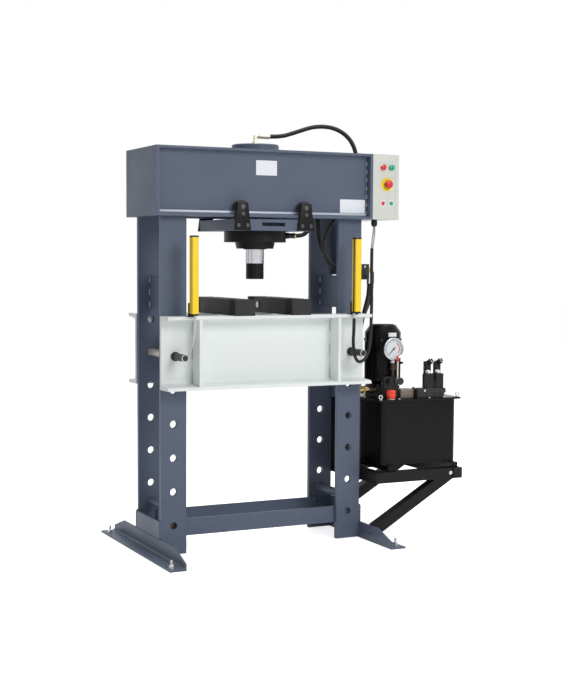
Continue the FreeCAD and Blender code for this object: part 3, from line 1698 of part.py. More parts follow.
# Pump: it hangs into the tank under a manifold, whose nozzle block stands in front
# of the motor and carries the gauge and both knobs.
pump_x = motor_out
pump_y = -s.motor_back
half = s.manifold_side / 2
pump_low = -s.pump_deep
shaft_bore = s.shaft_radius + s.shaft_gap
pump_outline = [
    (0, pump_low - s.suction_long),
    (s.suction_radius, pump_low - s.suction_long),
    (s.suction_radius, pump_low),
    (s.pump_radius, pump_low),
    (s.pump_radius, -s.pump_spigot_tall),
    (s.pump_spigot_radius, -s.pump_spigot_tall),
    (s.pump_spigot_radius, 0),
    (0, 0),
]
pump = turned("pump_body", (pump_x, pump_y, lid_top), pump_outline)
manifold_at = (pump_x - half, pump_y - half, lid_top)
manifold = block("manifold", manifold_at, s.manifold_side, s.manifold_side, s.manifold_tall)
nozzle_x = pump_x - s.nozzle_left
nozzle_wide = s.nozzle_left + s.nozzle_right
nozzle_foot_deep = s.nozzle_front - s.motor_back - half
nozzle_at = (nozzle_x, -s.nozzle_front, lid_top)
nozzle_foot = block("nozzle_foot", nozzle_at, nozzle_wide, nozzle_foot_deep, s.manifold_tall)
tower_tall = s.manifold_tall + s.nozzle_tall
tower = block("nozzle_tower", nozzle_at, nozzle_wide, s.nozzle_deep, tower_tall)
knob_z = lid_top + s.knob_height
bonnet_front = -s.nozzle_front - s.bonnet_long
bonnets = []
for word, out in (("valve", valve_knob_out), ("flow", flow_knob_out)):
    bonnet_at = (out, -s.nozzle_front, knob_z)
    bonnet_name = f"bonnet_{word}"
    bonnets.append(hexagon(bonnet_name, bonnet_at, s.bonnet_across, s.bonnet_long, TO_FRONT))
pump_whole = fuse("pump_whole", pump, manifold, nozzle_foot, tower, *bonnets)
shaft_at = (pump_x, pump_y, lid_top - s.pump_spigot_tall)
shaft_hole = rod("shaft_hole", shaft_at, shaft_bore, s.pump_spigot_tall + tower_tall)
node(cut("pump_block", pump_whole, shaft_hole))

# Motor: a finned housing round its rotor, with a fan cowl at the top.
fin_reach = s.motor_radius + s.fin_deep
motor_tall = s.motor_tall
inner = s.motor_radius - s.motor_wall
cowl_start = motor_tall - s.cowl_low
shoulder = motor_tall - s.cowl_shoulder
foot_wall = s.motor_wall
motor_outline = [
    (shaft_bore, 0),
    (s.motor_foot_radius, 0),
    (s.motor_radius, s.motor_foot_tall),
    (s.motor_radius, cowl_start),
    (fin_reach, cowl_start),
    (fin_reach, shoulder),
    (s.cowl_top_radius + s.cowl_edge, motor_tall - s.cowl_edge),
    (s.cowl_top_radius, motor_tall),
    (0, motor_tall),
    (0, motor_tall - s.cowl_edge),
    (s.cowl_top_radius, motor_tall - s.cowl_edge * 2),
    (inner, shoulder),
    (inner, s.motor_foot_tall),
    (s.motor_foot_radius - foot_wall, foot_wall),
    (shaft_bore, foot_wall),
]
housing = turned("motor_shell", (pump_x, pump_y, motor_low), motor_outline)
fins = []
fin_tall = cowl_start - s.fin_low
for number in range(int(s.fin_count.value)):
    fin_outline = [
        (s.motor_radius - s.fin_root, -s.fin_thick / 2),
        (fin_reach, -s.fin_thick / 2),
        (fin_reach, s.fin_thick / 2),
        (s.motor_radius - s.fin_root, s.fin_thick / 2),
    ]
    angle = 360 / s.fin_count.value * number
    fin_at = (pump_x, pump_y, motor_low + s.fin_low)
    fins.append(plate(f"fin_{number}", fin_at, "XY_Plane", fin_outline, fin_tall, turn=("z", angle)))
node(fuse("motor_housing", housing, *fins))

coupling_low = s.shaft_gap - s.manifold_tall - s.pump_spigot_tall
fan_low = motor_tall - s.fan_low
rotor_outline = [
    (0, coupling_low),
    (s.shaft_radius, coupling_low),
    (s.shaft_radius, s.rotor_low),
    (s.rotor_radius, s.rotor_low),
    (s.rotor_radius, s.rotor_low + s.rotor_tall),
    (s.shaft_radius, s.rotor_low + s.rotor_tall),
    (s.shaft_radius, fan_low),
    (s.fan_radius, fan_low),
    (s.fan_radius, fan_low + s.fan_tall),
    (0, fan_low + s.fan_tall),
]
node(turned("motor_rotor", (pump_x, pump_y, motor_low), rotor_outline))

# Pressure gauge: its case stands on a stem with a nut and a square shut-off valve.
gauge_r = s.gauge_radius
bezel = gauge_r - s.bezel_wide
dial = s.gauge_deep - s.dial_sunk
gauge_outline = [
    (0, 0),
    (gauge_r - s.bezel_round, 0),
    (gauge_r, s.bezel_round),
    (gauge_r, s.gauge_deep),
    (bezel, s.gauge_deep),
    (bezel, dial),
    (s.needle_bore, dial),
    (s.needle_bore, dial - s.needle_bore_deep),
    (0, dial - s.needle_bore_deep),
]
gauge_back = s.gauge_deep - s.gauge_front
case_at = (gauge_out, gauge_back, s.gauge_height)
case = turned("gauge_case", case_at, gauge_outline, TO_FRONT)
stem_low = lid_top + tower_tall
stem_top = s.gauge_height - gauge_r
stem_y = gauge_back - s.gauge_deep / 2
stem_long = stem_top - stem_low + s.bezel_wide
stem = rod("gauge_stem", (gauge_out, stem_y, stem_low), s.gauge_stem_radius, stem_long)
gauge_nut_at = (gauge_out, stem_y, stem_top - s.gauge_nut_tall)
gauge_nut = hexagon("gauge_nut", gauge_nut_at, s.gauge_nut_across, s.gauge_nut_tall)
valve_half = s.gauge_valve_side / 2
shut_off_at = (gauge_out - valve_half, stem_y - valve_half, stem_low + s.gauge_valve_low)
valve_side = s.gauge_valve_side
shut_off = block("gauge_valve", shut_off_at, valve_side, valve_side, s.gauge_valve_tall)
node(fuse("pressure_gauge", case, stem, gauge_nut, shut_off))

# Needle: drawn in its own plane, its hub in the dial's bore.
hub_radius = s.needle_bore - s.needle_hub_gap
hub_low = dial - s.needle_bore_deep + s.needle_floor_gap
blade_low = s.gauge_deep - s.needle_glass_gap - s.needle_thick
hub_turned = rod("needle_hub", (0, 0, 0), hub_radius, blade_low + s.needle_thick - hub_low)
blade_at = (-s.needle_wide / 2, -s.needle_long, blade_low - hub_low)
blade_long = s.needle_long + s.needle_tail
blade = block("needle_blade", blade_at, s.needle_wide, blade_long, s.needle_thick)
needle = fuse("needle_parts", hub_turned, blade)
needle.Placement = FreeCAD.Placement(FreeCAD.Vector(), FreeCAD.Rotation(AXES["z"], -45))
needle_home = group("gauge_needle", needle)
node(place(needle_home, (gauge_out, gauge_back - hub_low, s.gauge_height), TO_FRONT))

# Release lever: its hub turns on the flow knob's stem, and its grip stands up.
lever_x = flow_knob_out
hub_back = bonnet_front - s.lever_gap
lever_y = hub_back - s.lever_hub_long / 2
grip_low = knob_z + s.lever_long - s.lever_grip_long
hub_at = (lever_x, hub_back, knob_z)
lever_whole = fuse(
    "lever_whole",
    rod("lever_hub", hub_at, s.lever_hub_radius, s.lever_hub_long, TO_FRONT),
    rod("lever_rod", (lever_x, lever_y, knob_z), s.lever_radius, s.lever_long - s.lever_radius),
    rod("lever_grip", (lever_x, lever_y, grip_low), s.lever_grip_radius, s.lever_grip_long),
)
bore_at = (lever_x, bonnet_front, knob_z)
bore_long = s.lever_hub_long + s.lever_gap * 2
lever_bore = rod("lever_bore", bore_at, s.knob_stem_bore, bore_long, TO_FRONT)
node(cut("release_lever", lever_whole, lever_bore))

# Knobs: a ribbed one on the shut-off valve and a cone on the flow valve.
knob_start = s.knob_stem_long
stem_radius = s.knob_stem_radius
knob_outline = [
    (0, 0),
    (stem_radius, 0),
    (stem_radius, knob_start),
    (s.knob_radius, knob_start),
    (s.knob_radius, knob_start + s.knob_long),
    (0, knob_start + s.knob_long),
]
valve_knob_at = (valve_knob_out, bonnet_front - s.lever_gap, knob_z)
node(turned("valve_knob", valve_knob_at, knob_outline, TO_FRONT))
cone_start = s.lever_gap + s.lever_hub_long
cone_end = cone_start + s.cone_long
cone_outline = [
    (0, 0),
    (stem_radius, 0),
    (stem_radius, cone_start),
    (s.cone_small_radius, cone_start),
    (s.cone_radius, cone_end),
    (s.cone_radius, cone_end + s.cone_rim),
    (0, cone_end + s.cone_rim),
]
flow_knob_at = (flow_knob_out, bonnet_front - s.lever_gap, knob_z)
node(turned("flow_knob", flow_knob_at, cone_outline, TO_FRONT))

# Filler cap on the lid's front.
cap_outline = [
    (0, 0),
    (s.cap_neck_radius, 0),
    (s.cap_neck_radius, s.cap_neck_tall),
    (s.cap_radius, s.cap_neck_tall),
    (s.cap_radius, s.cap_tall - s.cap_round),
    (s.cap_radius - s.cap_round, s.cap_tall),
    (0, s.cap_tall),
]
node(turned("filler_cap", (cap_out, -s.cap_front, lid_top + s.cap_seat_gap), cap_outline))

# Valve block, and the low cover beside it.
valve_wide = valve_right - valve_left
valve_at = (valve_left, -s.valve_front, lid_top)
valve = block("valve_base", valve_at, valve_wide, s.valve_deep, s.valve_tall)
cover_at = (cover_left, -s.cover_front, lid_top)
cover_wide = valve_left - s.cover_gap - cover_left
cover = block("valve_cover", cover_at, cover_wide, s.cover_deep, s.cover_tall)
valve_mid = -s.valve_front + s.valve_deep / 2
plug_height = lid_top + s.valve_plug_height
end_plug_at = (valve_right, valve_mid, plug_height)
end_plug = rod("valve_plug", end_plug_at, s.valve_plug_radius, s.valve_plug_long, TO_RIGHT)
node(group("valve_block", fuse("valve_drilled", valve, end_plug), cover))

# Solenoid coils: square coils with a nut each, and a plug with a slanted outlet.
coils = []
coil_low = lid_top + s.valve_tall
coil_half = s.coil_side / 2
for number, across in enumerate((s.coil_first, s.coil_first + s.coil_step), start=1):
    coil_x = valve_left + across
    coil_at = (coil_x - coil_half, valve_mid - coil_half, coil_low)
    coil = block(f"coil_{number}", coil_at, s.coil_side, s.coil_side, s.coil_tall)
    nut_at = (coil_x, valve_mid, coil_low + s.coil_tall)
    nut = hexagon(f"coil_nut_{number}", nut_at, s.coil_nut_across, s.coil_nut_tall)
    socket_at = (coil_x - coil_half, valve_mid + coil_half, coil_low + s.plug_low)
    socket = block(f"coil_plug_{number}", socket_at, s.plug_wide, s.plug_deep, s.plug_tall)
    outlet_x = coil_x - coil_half + s.plug_wide / 2
    outlet_z = coil_low + s.plug_low + s.plug_tall - s.outlet_tube_sunk
    outlet_at = (outlet_x, valve_mid + coil_half + s.plug_deep / 2, outlet_z)
    outlet_radius = s.outlet_tube_radius
    outlet_long = s.outlet_tube_long
    outlet = rod(f"coil_outlet_{number}", outlet_at, outlet_radius, outlet_long, ("y", 45))
    coils.append(fuse(f"solenoid_{number}", coil, nut, socket, outlet))
node(group("solenoid_coils", *coils))

document.recompute()
for item in document.Objects:
    if "Invalid" in item.State or "Error" in item.State:
        raise ValueError(f"{item.Label} is {item.State}")
for item in nodes:
    shape = item.Shape
    if shape.isNull() or not shape.isValid() or not shape.Solids:
        raise ValueError(f"{item.Label} has no good shape")
os.makedirs("parts", exist_ok=True)
for item in nodes:
    item.Shape.exportStep(f"parts/{item.Label}.step")
print(len(nodes), "nodes")
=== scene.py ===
import json
import math
from itertools import product
import bpy
from mathutils import Matrix, Vector
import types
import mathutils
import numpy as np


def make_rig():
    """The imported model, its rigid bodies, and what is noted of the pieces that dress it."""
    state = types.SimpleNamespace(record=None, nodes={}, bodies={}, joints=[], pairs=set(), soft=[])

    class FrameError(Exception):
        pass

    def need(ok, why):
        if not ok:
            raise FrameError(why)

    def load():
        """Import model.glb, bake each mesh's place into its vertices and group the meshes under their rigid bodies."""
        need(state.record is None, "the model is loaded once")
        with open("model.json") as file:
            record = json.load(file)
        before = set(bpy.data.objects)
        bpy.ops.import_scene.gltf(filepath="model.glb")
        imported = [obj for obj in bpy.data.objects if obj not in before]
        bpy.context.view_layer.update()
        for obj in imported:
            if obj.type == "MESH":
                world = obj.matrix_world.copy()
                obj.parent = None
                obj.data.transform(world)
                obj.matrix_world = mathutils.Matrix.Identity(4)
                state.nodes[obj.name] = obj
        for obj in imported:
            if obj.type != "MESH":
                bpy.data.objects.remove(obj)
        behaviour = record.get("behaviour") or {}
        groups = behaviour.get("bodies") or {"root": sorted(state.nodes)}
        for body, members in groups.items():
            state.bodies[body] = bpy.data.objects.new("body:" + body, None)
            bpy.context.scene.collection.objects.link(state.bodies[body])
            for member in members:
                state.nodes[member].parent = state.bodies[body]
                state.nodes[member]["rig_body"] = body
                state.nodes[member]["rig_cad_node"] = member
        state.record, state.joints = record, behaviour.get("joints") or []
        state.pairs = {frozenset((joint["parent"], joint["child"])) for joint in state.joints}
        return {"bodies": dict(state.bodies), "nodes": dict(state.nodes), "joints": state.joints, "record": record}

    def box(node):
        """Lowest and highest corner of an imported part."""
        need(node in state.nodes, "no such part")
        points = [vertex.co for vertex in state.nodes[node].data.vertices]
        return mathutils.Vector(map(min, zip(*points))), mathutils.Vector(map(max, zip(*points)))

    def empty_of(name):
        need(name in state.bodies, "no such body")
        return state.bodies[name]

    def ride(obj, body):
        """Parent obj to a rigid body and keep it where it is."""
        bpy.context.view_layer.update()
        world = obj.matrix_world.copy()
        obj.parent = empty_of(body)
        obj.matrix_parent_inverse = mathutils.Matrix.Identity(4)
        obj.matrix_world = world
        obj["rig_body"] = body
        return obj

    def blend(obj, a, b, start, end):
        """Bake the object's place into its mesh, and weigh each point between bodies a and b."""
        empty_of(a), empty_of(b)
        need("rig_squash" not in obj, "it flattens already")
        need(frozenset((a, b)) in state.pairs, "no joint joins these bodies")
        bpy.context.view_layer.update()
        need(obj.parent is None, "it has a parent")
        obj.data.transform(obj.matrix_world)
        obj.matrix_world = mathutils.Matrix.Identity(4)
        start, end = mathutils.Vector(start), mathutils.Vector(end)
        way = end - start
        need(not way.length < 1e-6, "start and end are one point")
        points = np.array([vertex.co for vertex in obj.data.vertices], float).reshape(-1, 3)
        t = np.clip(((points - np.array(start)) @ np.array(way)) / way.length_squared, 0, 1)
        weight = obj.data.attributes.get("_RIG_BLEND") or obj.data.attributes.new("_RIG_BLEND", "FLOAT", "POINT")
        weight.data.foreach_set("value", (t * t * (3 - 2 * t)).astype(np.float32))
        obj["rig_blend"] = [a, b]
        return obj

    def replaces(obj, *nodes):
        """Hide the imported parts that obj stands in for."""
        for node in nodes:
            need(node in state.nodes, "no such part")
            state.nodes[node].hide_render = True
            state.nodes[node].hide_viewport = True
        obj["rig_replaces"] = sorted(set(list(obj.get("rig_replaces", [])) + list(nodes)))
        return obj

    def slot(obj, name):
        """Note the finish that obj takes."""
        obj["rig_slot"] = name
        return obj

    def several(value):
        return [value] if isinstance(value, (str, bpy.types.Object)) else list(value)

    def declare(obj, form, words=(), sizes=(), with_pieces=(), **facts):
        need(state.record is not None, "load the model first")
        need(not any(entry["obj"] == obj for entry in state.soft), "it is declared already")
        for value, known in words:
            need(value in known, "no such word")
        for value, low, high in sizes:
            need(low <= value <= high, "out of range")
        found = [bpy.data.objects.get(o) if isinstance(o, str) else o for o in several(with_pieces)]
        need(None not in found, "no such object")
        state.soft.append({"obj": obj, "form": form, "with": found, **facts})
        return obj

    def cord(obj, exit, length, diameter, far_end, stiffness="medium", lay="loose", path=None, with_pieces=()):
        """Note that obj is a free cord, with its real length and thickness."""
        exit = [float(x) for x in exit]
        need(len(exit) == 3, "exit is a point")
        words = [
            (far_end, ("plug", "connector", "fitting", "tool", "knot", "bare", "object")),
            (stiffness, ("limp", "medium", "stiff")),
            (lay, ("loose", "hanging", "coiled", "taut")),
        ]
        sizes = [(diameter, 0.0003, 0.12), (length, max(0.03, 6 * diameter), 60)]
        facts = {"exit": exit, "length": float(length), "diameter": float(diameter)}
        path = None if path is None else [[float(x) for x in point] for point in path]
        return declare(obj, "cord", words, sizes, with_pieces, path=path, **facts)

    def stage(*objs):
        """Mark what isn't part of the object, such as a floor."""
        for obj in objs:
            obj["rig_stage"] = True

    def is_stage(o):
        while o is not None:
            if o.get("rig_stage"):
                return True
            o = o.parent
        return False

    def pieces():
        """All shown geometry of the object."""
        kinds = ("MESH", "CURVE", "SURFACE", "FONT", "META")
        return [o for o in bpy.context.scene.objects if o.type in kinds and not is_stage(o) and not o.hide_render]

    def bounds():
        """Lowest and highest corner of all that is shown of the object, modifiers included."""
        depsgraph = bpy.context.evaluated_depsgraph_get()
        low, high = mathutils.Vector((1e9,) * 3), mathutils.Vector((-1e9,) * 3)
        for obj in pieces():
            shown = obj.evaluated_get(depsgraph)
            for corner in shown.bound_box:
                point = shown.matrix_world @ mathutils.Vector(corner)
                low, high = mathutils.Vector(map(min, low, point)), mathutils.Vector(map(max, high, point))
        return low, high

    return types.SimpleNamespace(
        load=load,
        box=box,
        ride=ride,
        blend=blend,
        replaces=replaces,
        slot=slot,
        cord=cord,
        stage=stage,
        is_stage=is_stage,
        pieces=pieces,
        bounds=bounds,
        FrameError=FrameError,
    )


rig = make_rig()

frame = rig.load()
cad_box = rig.bounds()

# A column press with a roller-carried cylinder, a pinned bed and a power pack.
# Places are millimetres from the press's middle line, its front negative and its
# floor at zero; spot() turns them into metres in the frame.
MM = 0.001
crown_low, crown_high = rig.box("crown_front_channel")
press_middle = (crown_low.x + crown_high.x) / 2


def spot(x, y, z):
    return Vector((press_middle + x * MM, y * MM, z * MM))


def home(point):
    """The same place back in millimetres from the press's middle line."""
    return (point.x - press_middle) / MM, point.y / MM, point.z / MM


def put(name, data):
    """A new object in the scene."""
    item = bpy.data.objects.new(name, data)
    bpy.context.scene.collection.objects.link(item)
    return item


# ---- camera

PHOTO_TALL = 699
FOCAL_PIXELS = 1336.97
ROOM_SIZE = 60
SENSOR = 36
LENS_DROP_PIXELS = 2.37
CAMERA_PLACE = (-2541.7, -5599.2, 1309.6)
CAMERA_YAW = math.radians(25.783)
CAMERA_PITCH = math.radians(-4.0114)
CAMERA_ROLL = math.radians(0.2997)


def make_camera():
    data = bpy.data.cameras.new("photo_camera")
    data.sensor_width = SENSOR
    data.lens = FOCAL_PIXELS * SENSOR / PHOTO_TALL
    data.shift_y = LENS_DROP_PIXELS / PHOTO_TALL
    data.clip_end = ROOM_SIZE
    camera = put("photo_camera", data)
    turn = Matrix.Rotation(-CAMERA_YAW, 4, "Z")
    tilt = Matrix.Rotation(math.pi / 2 + CAMERA_PITCH, 4, "X")
    roll = Matrix.Rotation(CAMERA_ROLL, 4, "Z")
    stand = Matrix.Translation(spot(*CAMERA_PLACE))
    camera.matrix_world = stand @ turn @ tilt @ roll
    bpy.context.scene.camera = camera


make_camera()

# ---- finishes


SURFACE = ("Colour", "Roughness", "Normal")
COATING_INPUTS = ("Colour", "Cloud Colour", "Cloud", "Roughness", "Edge Colour", "Edge Wear")
COATING_INPUTS += ("Skin Scale", "Skin Depth")
MACHINED_INPUTS = ("Colour", "Stain Colour", "Stain", "Roughness", "Streaks", "Streak Depth")


def socket_kind(label):
    if "Colour" in label:
        return "NodeSocketColor"
    return "NodeSocketVector" if label in ("Streaks", "Normal") else "NodeSocketFloat"


def new_group(name, inputs):
    """A shader node group that puts out a surface, its inputs, its end and the piece's own place."""
    tree = bpy.data.node_groups.new(name, "ShaderNodeTree")
    for way, labels in (("INPUT", inputs), ("OUTPUT", SURFACE)):
        for label in labels:
            tree.interface.new_socket(label, in_out=way, socket_type=socket_kind(label))
    given = tree.nodes.new("NodeGroupInput").outputs
    place = add_node(tree, "TexCoord").outputs["Object"]
    return tree, given, tree.nodes.new("NodeGroupOutput"), place


def add_node(tree, kind, values=(), **settings):
    """A node with its settings, and numbers or links for its sockets."""
    item = tree.nodes.new("ShaderNode" + kind)
    for key, value in settings.items():
        setattr(item, key, value)
    for key, value in dict(values).items():
        if isinstance(value, bpy.types.NodeSocket):
            tree.links.new(value, item.inputs[key])
        else:
            item.inputs[key].default_value = value
    return item


def sum_of(tree, operation, first, second, clamp=False):
    values = {0: first, 1: second}
    return add_node(tree, "Math", values, operation=operation, use_clamp=clamp).outputs[0]


def blend_colours(tree, share, first, second):
    values = {0: share, 6: first, 7: second}
    return add_node(tree, "Mix", values, data_type="RGBA").outputs[2]


def spread(tree, value, low, high, to_low=0.0, to_high=1.0):
    values = {0: value, 1: low, 2: high, 3: to_low, 4: to_high}
    return add_node(tree, "MapRange", values).outputs[0]


def noise(tree, place, scale, detail, roughness=0.5):
    values = {"Vector": place, "Scale": scale, "Detail": detail, "Roughness": roughness}
    return add_node(tree, "TexNoise", values).outputs[0]


def rounded_normal(tree, radius):
    return add_node(tree, "Bevel", {"Radius": radius}, samples=4).outputs[0]


def give(tree, made, tone, roughness, depth, distance, height, normal):
    """Send a group's colour, roughness and bumped normal out."""
    values = {"Strength": depth, "Distance": distance, "Height": height, "Normal": normal}
    bump = add_node(tree, "Bump", values)
    for label, socket in zip(SURFACE, (tone, roughness, bump.outputs[0])):
        tree.links.new(socket, made.inputs[label])
    return tree


# Metres: how far edges look rounded, and how deep paint's skin and metal's streaks look.
PAINT_ROUND, METAL_ROUND = 0.0012, 0.0008
SKIN_DEEP, STREAK_DEEP = 0.0004, 0.0003


def make_coating():
    """Paint and moulded plastic: cloudy tone, worn edges and a fine skin."""
    tree, given, made, place = new_group("coating", COATING_INPUTS)
    cloud = noise(tree, place, 4.0, 5.0, 0.6)
    cloud_share = sum_of(tree, "MULTIPLY", spread(tree, cloud, 0.35, 0.68), given["Cloud"])
    tone = blend_colours(tree, cloud_share, given["Colour"], given["Cloud Colour"])
    rounded = rounded_normal(tree, PAINT_ROUND)
    flat = add_node(tree, "NewGeometry").outputs["Normal"]
    turn = add_node(tree, "VectorMath", {0: rounded, 1: flat}, operation="DOT_PRODUCT")
    edge = spread(tree, turn.outputs["Value"], 0.995, 0.86)
    chips = noise(tree, place, 45.0, 6.0)
    chipped = sum_of(tree, "MULTIPLY", edge, spread(tree, chips, 0.42, 0.62))
    worn = sum_of(tree, "MULTIPLY", chipped, given["Edge Wear"], clamp=True)
    final = blend_colours(tree, worn, tone, given["Edge Colour"])
    rougher = spread(tree, cloud, 0.3, 0.7, -0.06, 0.06)
    roughness = sum_of(tree, "ADD", given["Roughness"], rougher, clamp=True)
    skin = noise(tree, place, given["Skin Scale"], 3.0)
    return give(tree, made, final, roughness, given["Skin Depth"], SKIN_DEEP, skin, rounded)


def make_machined():
    """Bare metal: fine streaks along one way, and stains."""
    tree, given, made, place = new_group("machined", MACHINED_INPUTS)
    values = {0: place, 1: given["Streaks"]}
    stretched = add_node(tree, "VectorMath", values, operation="MULTIPLY").outputs[0]
    streak = noise(tree, stretched, 1.0, 4.0, 0.65)
    patch = noise(tree, place, 22.0, 6.0, 0.6)
    stain = sum_of(tree, "MULTIPLY", spread(tree, patch, 0.45, 0.7), given["Stain"])
    tone = blend_colours(tree, stain, given["Colour"], given["Stain Colour"])
    final = add_node(tree, "VectorMath", {0: tone}, operation="SCALE")
    tree.links.new(spread(tree, streak, 0.25, 0.75, 0.86, 1.1), final.inputs["Scale"])
    rougher = spread(tree, streak, 0.2, 0.8, -0.08, 0.1)
    roughness = sum_of(tree, "ADD", given["Roughness"], rougher, clamp=True)
    rounded = rounded_normal(tree, METAL_ROUND)
    final, deep = final.outputs[0], given["Streak Depth"]
    return give(tree, made, final, roughness, deep, STREAK_DEEP, streak, rounded)


coating = make_coating()
machined = make_machined()


def colour(red, green, blue):
    """A colour written as it looks on a screen, 0 to 255, made linear."""

    def line(value):
        value = value / 255
        return value / 12.92 if value <= 0.04045 else ((value + 0.055) / 1.055) ** 2.4

    return (line(red), line(green), line(blue), 1.0)


def finish(name, group, values, fixed):
    """A material whose colour, roughness and normal come from a group."""
    material = bpy.data.materials.new(name)
    material.use_nodes = True
    tree = material.node_tree
    shader = tree.nodes["Principled BSDF"]
    surface = add_node(tree, "Group", node_tree=group)
    for key, value in values.items():
        surface.inputs[key].default_value = value
    for label, socket in zip(SURFACE, ("Base Color", "Roughness", "Normal")):
        tree.links.new(surface.outputs[label], shader.inputs[socket])
    for key, value in fixed.items():
        shader.inputs[key].default_value = value
    material.diffuse_color = values["Colour"]
    return material


def paint(tone, cloud, edge, roughness, wear, skin, scale=700.0, share=0.35, shine=0.5, **fixed):
    """What coating needs for a paint or plastic."""
    values = (colour(*tone), colour(*cloud), share, roughness, colour(*edge), wear, scale, skin)
    return coating, dict(zip(COATING_INPUTS, values)), {"Specular IOR Level": shine} | fixed


def metal(tone, stain_tone, roughness, stain, streaks, depth=0.1, metallic=1.0):
    """What machined needs for a bare metal."""
    values = (colour(*tone), colour(*stain_tone), stain, roughness, streaks, depth)
    return machined, dict(zip(MACHINED_INPUTS, values)), {"Metallic": metallic}


LOOKS = {
    "frame_paint": paint((93, 102, 121), (85, 94, 112), (116, 126, 145), 0.42, 0.5, 0.22, shine=0.2),
    "bed_paint": paint((234, 239, 238), (226, 231, 230), (246, 247, 246), 0.45, 0.25, 0.2),
    "box_paint": paint((210, 213, 206), (205, 208, 201), (226, 227, 222), 0.5, 0.3, 0.3, 900.0),
    "black_paint": paint((22, 22, 23), (30, 30, 31), (70, 70, 72), 0.4, 0.35, 0.25, shine=0.14),
    "tank_paint": paint((22, 22, 23), (30, 30, 31), (96, 98, 100), 0.24, 0.3, 0.12, shine=0.1),
    "yellow_paint": paint((255, 217, 40), (252, 211, 34), (255, 222, 90), 0.36, 0.25, 0.12),
    "black_plastic": paint((16, 16, 17), (22, 22, 23), (46, 46, 48), 0.5, 0.2, 0.25, shine=0.25),
    "red_plastic": paint((212, 46, 46), (198, 36, 36), (238, 100, 92), 0.26, 0.15, 0.05),
    "green_plastic": paint((20, 160, 122), (12, 140, 104), (80, 200, 160), 0.28, 0.15, 0.05),
    "orange_plastic": paint((236, 66, 34), (222, 54, 26), (246, 120, 92), 0.32, 0.2, 0.1),
    "pale_plastic": paint((214, 214, 208), (200, 200, 194), (232, 232, 228), 0.45, 0.2, 0.15),
    "tan_paint": paint((124, 112, 102), (100, 90, 82), (160, 148, 136), 0.45, 0.4, 0.3),
    "stop_yellow": paint((252, 228, 36), (248, 220, 24), (255, 240, 110), 0.35, 0.15, 0.08),
    "label_white": paint((238, 241, 247), (230, 233, 240), (246, 247, 250), 0.35, 0.1, 0.04),
    "dial_white": paint((218, 222, 228), (212, 216, 222), (232, 236, 240), 0.5, 0.0, 0.02),
    "dial_ink": paint((22, 22, 24), (28, 28, 30), (40, 40, 42), 0.5, 0.0, 0.02),
    "dial_red": paint((196, 40, 44), (184, 34, 38), (210, 70, 70), 0.5, 0.0, 0.02),
    "hose_rubber": paint((27, 27, 28), (36, 36, 37), (52, 52, 54), 0.52, 0.3, 0.5, 1400.0, shine=0.25),
    "motor_black": paint((13, 13, 14), (18, 18, 19), (84, 90, 100), 0.2, 0.4, 0.1, shine=0.12),
    # Painted highlight: a light bluish paint for the lower lip's root, standing in for light caught from above.
    "rubbed_paint": paint((186, 194, 208), (206, 212, 222), (206, 212, 220), 0.3, 0.5, 0.2, share=0.8),
    # Light grey for weld beads on the painted frame, lighter than its paint: a painted highlight along the beads and
    # plate edges.
    "weld_grey": paint((190, 195, 203), (150, 156, 166), (206, 210, 216), 0.5, 0.5, 0.5, 300.0),
    # Grey for the bed's weld beads, darker than the bed's paint: painted shade along the ribs.
    "bed_weld": paint((206, 209, 207), (184, 187, 185), (232, 234, 233), 0.5, 0.4, 0.4, 300.0),
    "cast_black": paint((34, 35, 36), (46, 47, 48), (86, 88, 90), 0.6, 0.5, 0.8, 160.0, shine=0.3),
    "lens_dark": paint((30, 16, 20), (22, 12, 15), (60, 40, 44), 0.12, 0.1, 0.02, **{"Coat Weight": 0.5}),
    "wire_grey": paint((158, 160, 160), (140, 142, 142), (180, 180, 180), 0.4, 0.1, 0.1),
    "steel": metal((176, 178, 180), (118, 112, 104), 0.34, 0.35, (300.0, 60.0, 300.0)),
    "zinc": metal((198, 198, 196), (150, 146, 136), 0.32, 0.3, (160.0, 160.0, 160.0)),
    "dark_steel": metal((50, 50, 52), (32, 31, 30), 0.42, 0.4, (90.0, 30.0, 90.0), 0.3, metallic=0.6),
    "chrome_rod": metal((204, 207, 212), (180, 182, 186), 0.14, 0.1, (20.0, 20.0, 1400.0), 0.05),
    "pale_brass": metal((232, 224, 200), (190, 176, 142), 0.36, 0.3, (120.0, 120.0, 120.0), metallic=0.6),
    "pale_metal": metal((206, 203, 192), (150, 147, 138), 0.38, 0.3, (140.0, 140.0, 140.0), metallic=0.5),
    "silver_nut": metal((224, 224, 222), (180, 178, 172), 0.24, 0.2, (140.0, 140.0, 140.0)),
    "screw_steel": metal((82, 82, 84), (52, 52, 54), 0.4, 0.3, (140.0, 140.0, 140.0), metallic=0.7),
    "brown_metal": metal((74, 60, 50), (48, 40, 34), 0.4, 0.5, (90.0, 90.0, 90.0), 0.3, metallic=0.8),
    "brass_fitting": metal((206, 180, 126), (150, 122, 76), 0.28, 0.4, (120.0, 120.0, 120.0)),
    "gauge_metal": metal((182, 186, 192), (150, 152, 156), 0.24, 0.1, (120.0, 120.0, 120.0), 0.05),
}
FINISHES = {name: finish(name, *look) for name, look in LOOKS.items()}


def paint_rim_reflection(material, dark, start, share):
    """Painted reflection: a round bar's base colour is darkened at its sides, where it turns away from the eye, as if
    they mirrored the dark room.
    """
    tree = material.node_tree
    shader = tree.nodes["Principled BSDF"]
    tone = shader.inputs["Base Color"].links[0].from_socket
    away = add_node(tree, "LayerWeight", {"Blend": 0.5}).outputs["Facing"]
    rim = spread(tree, away, start, 1.0, 0.0, share)
    tree.links.new(blend_colours(tree, rim, tone, colour(*dark)), shader.inputs["Base Color"])


# Painted reflection on the chrome rod: its base colour turns dark grey towards its sides.
paint_rim_reflection(FINISHES["chrome_rod"], (70, 72, 76), 0.25, 0.95)

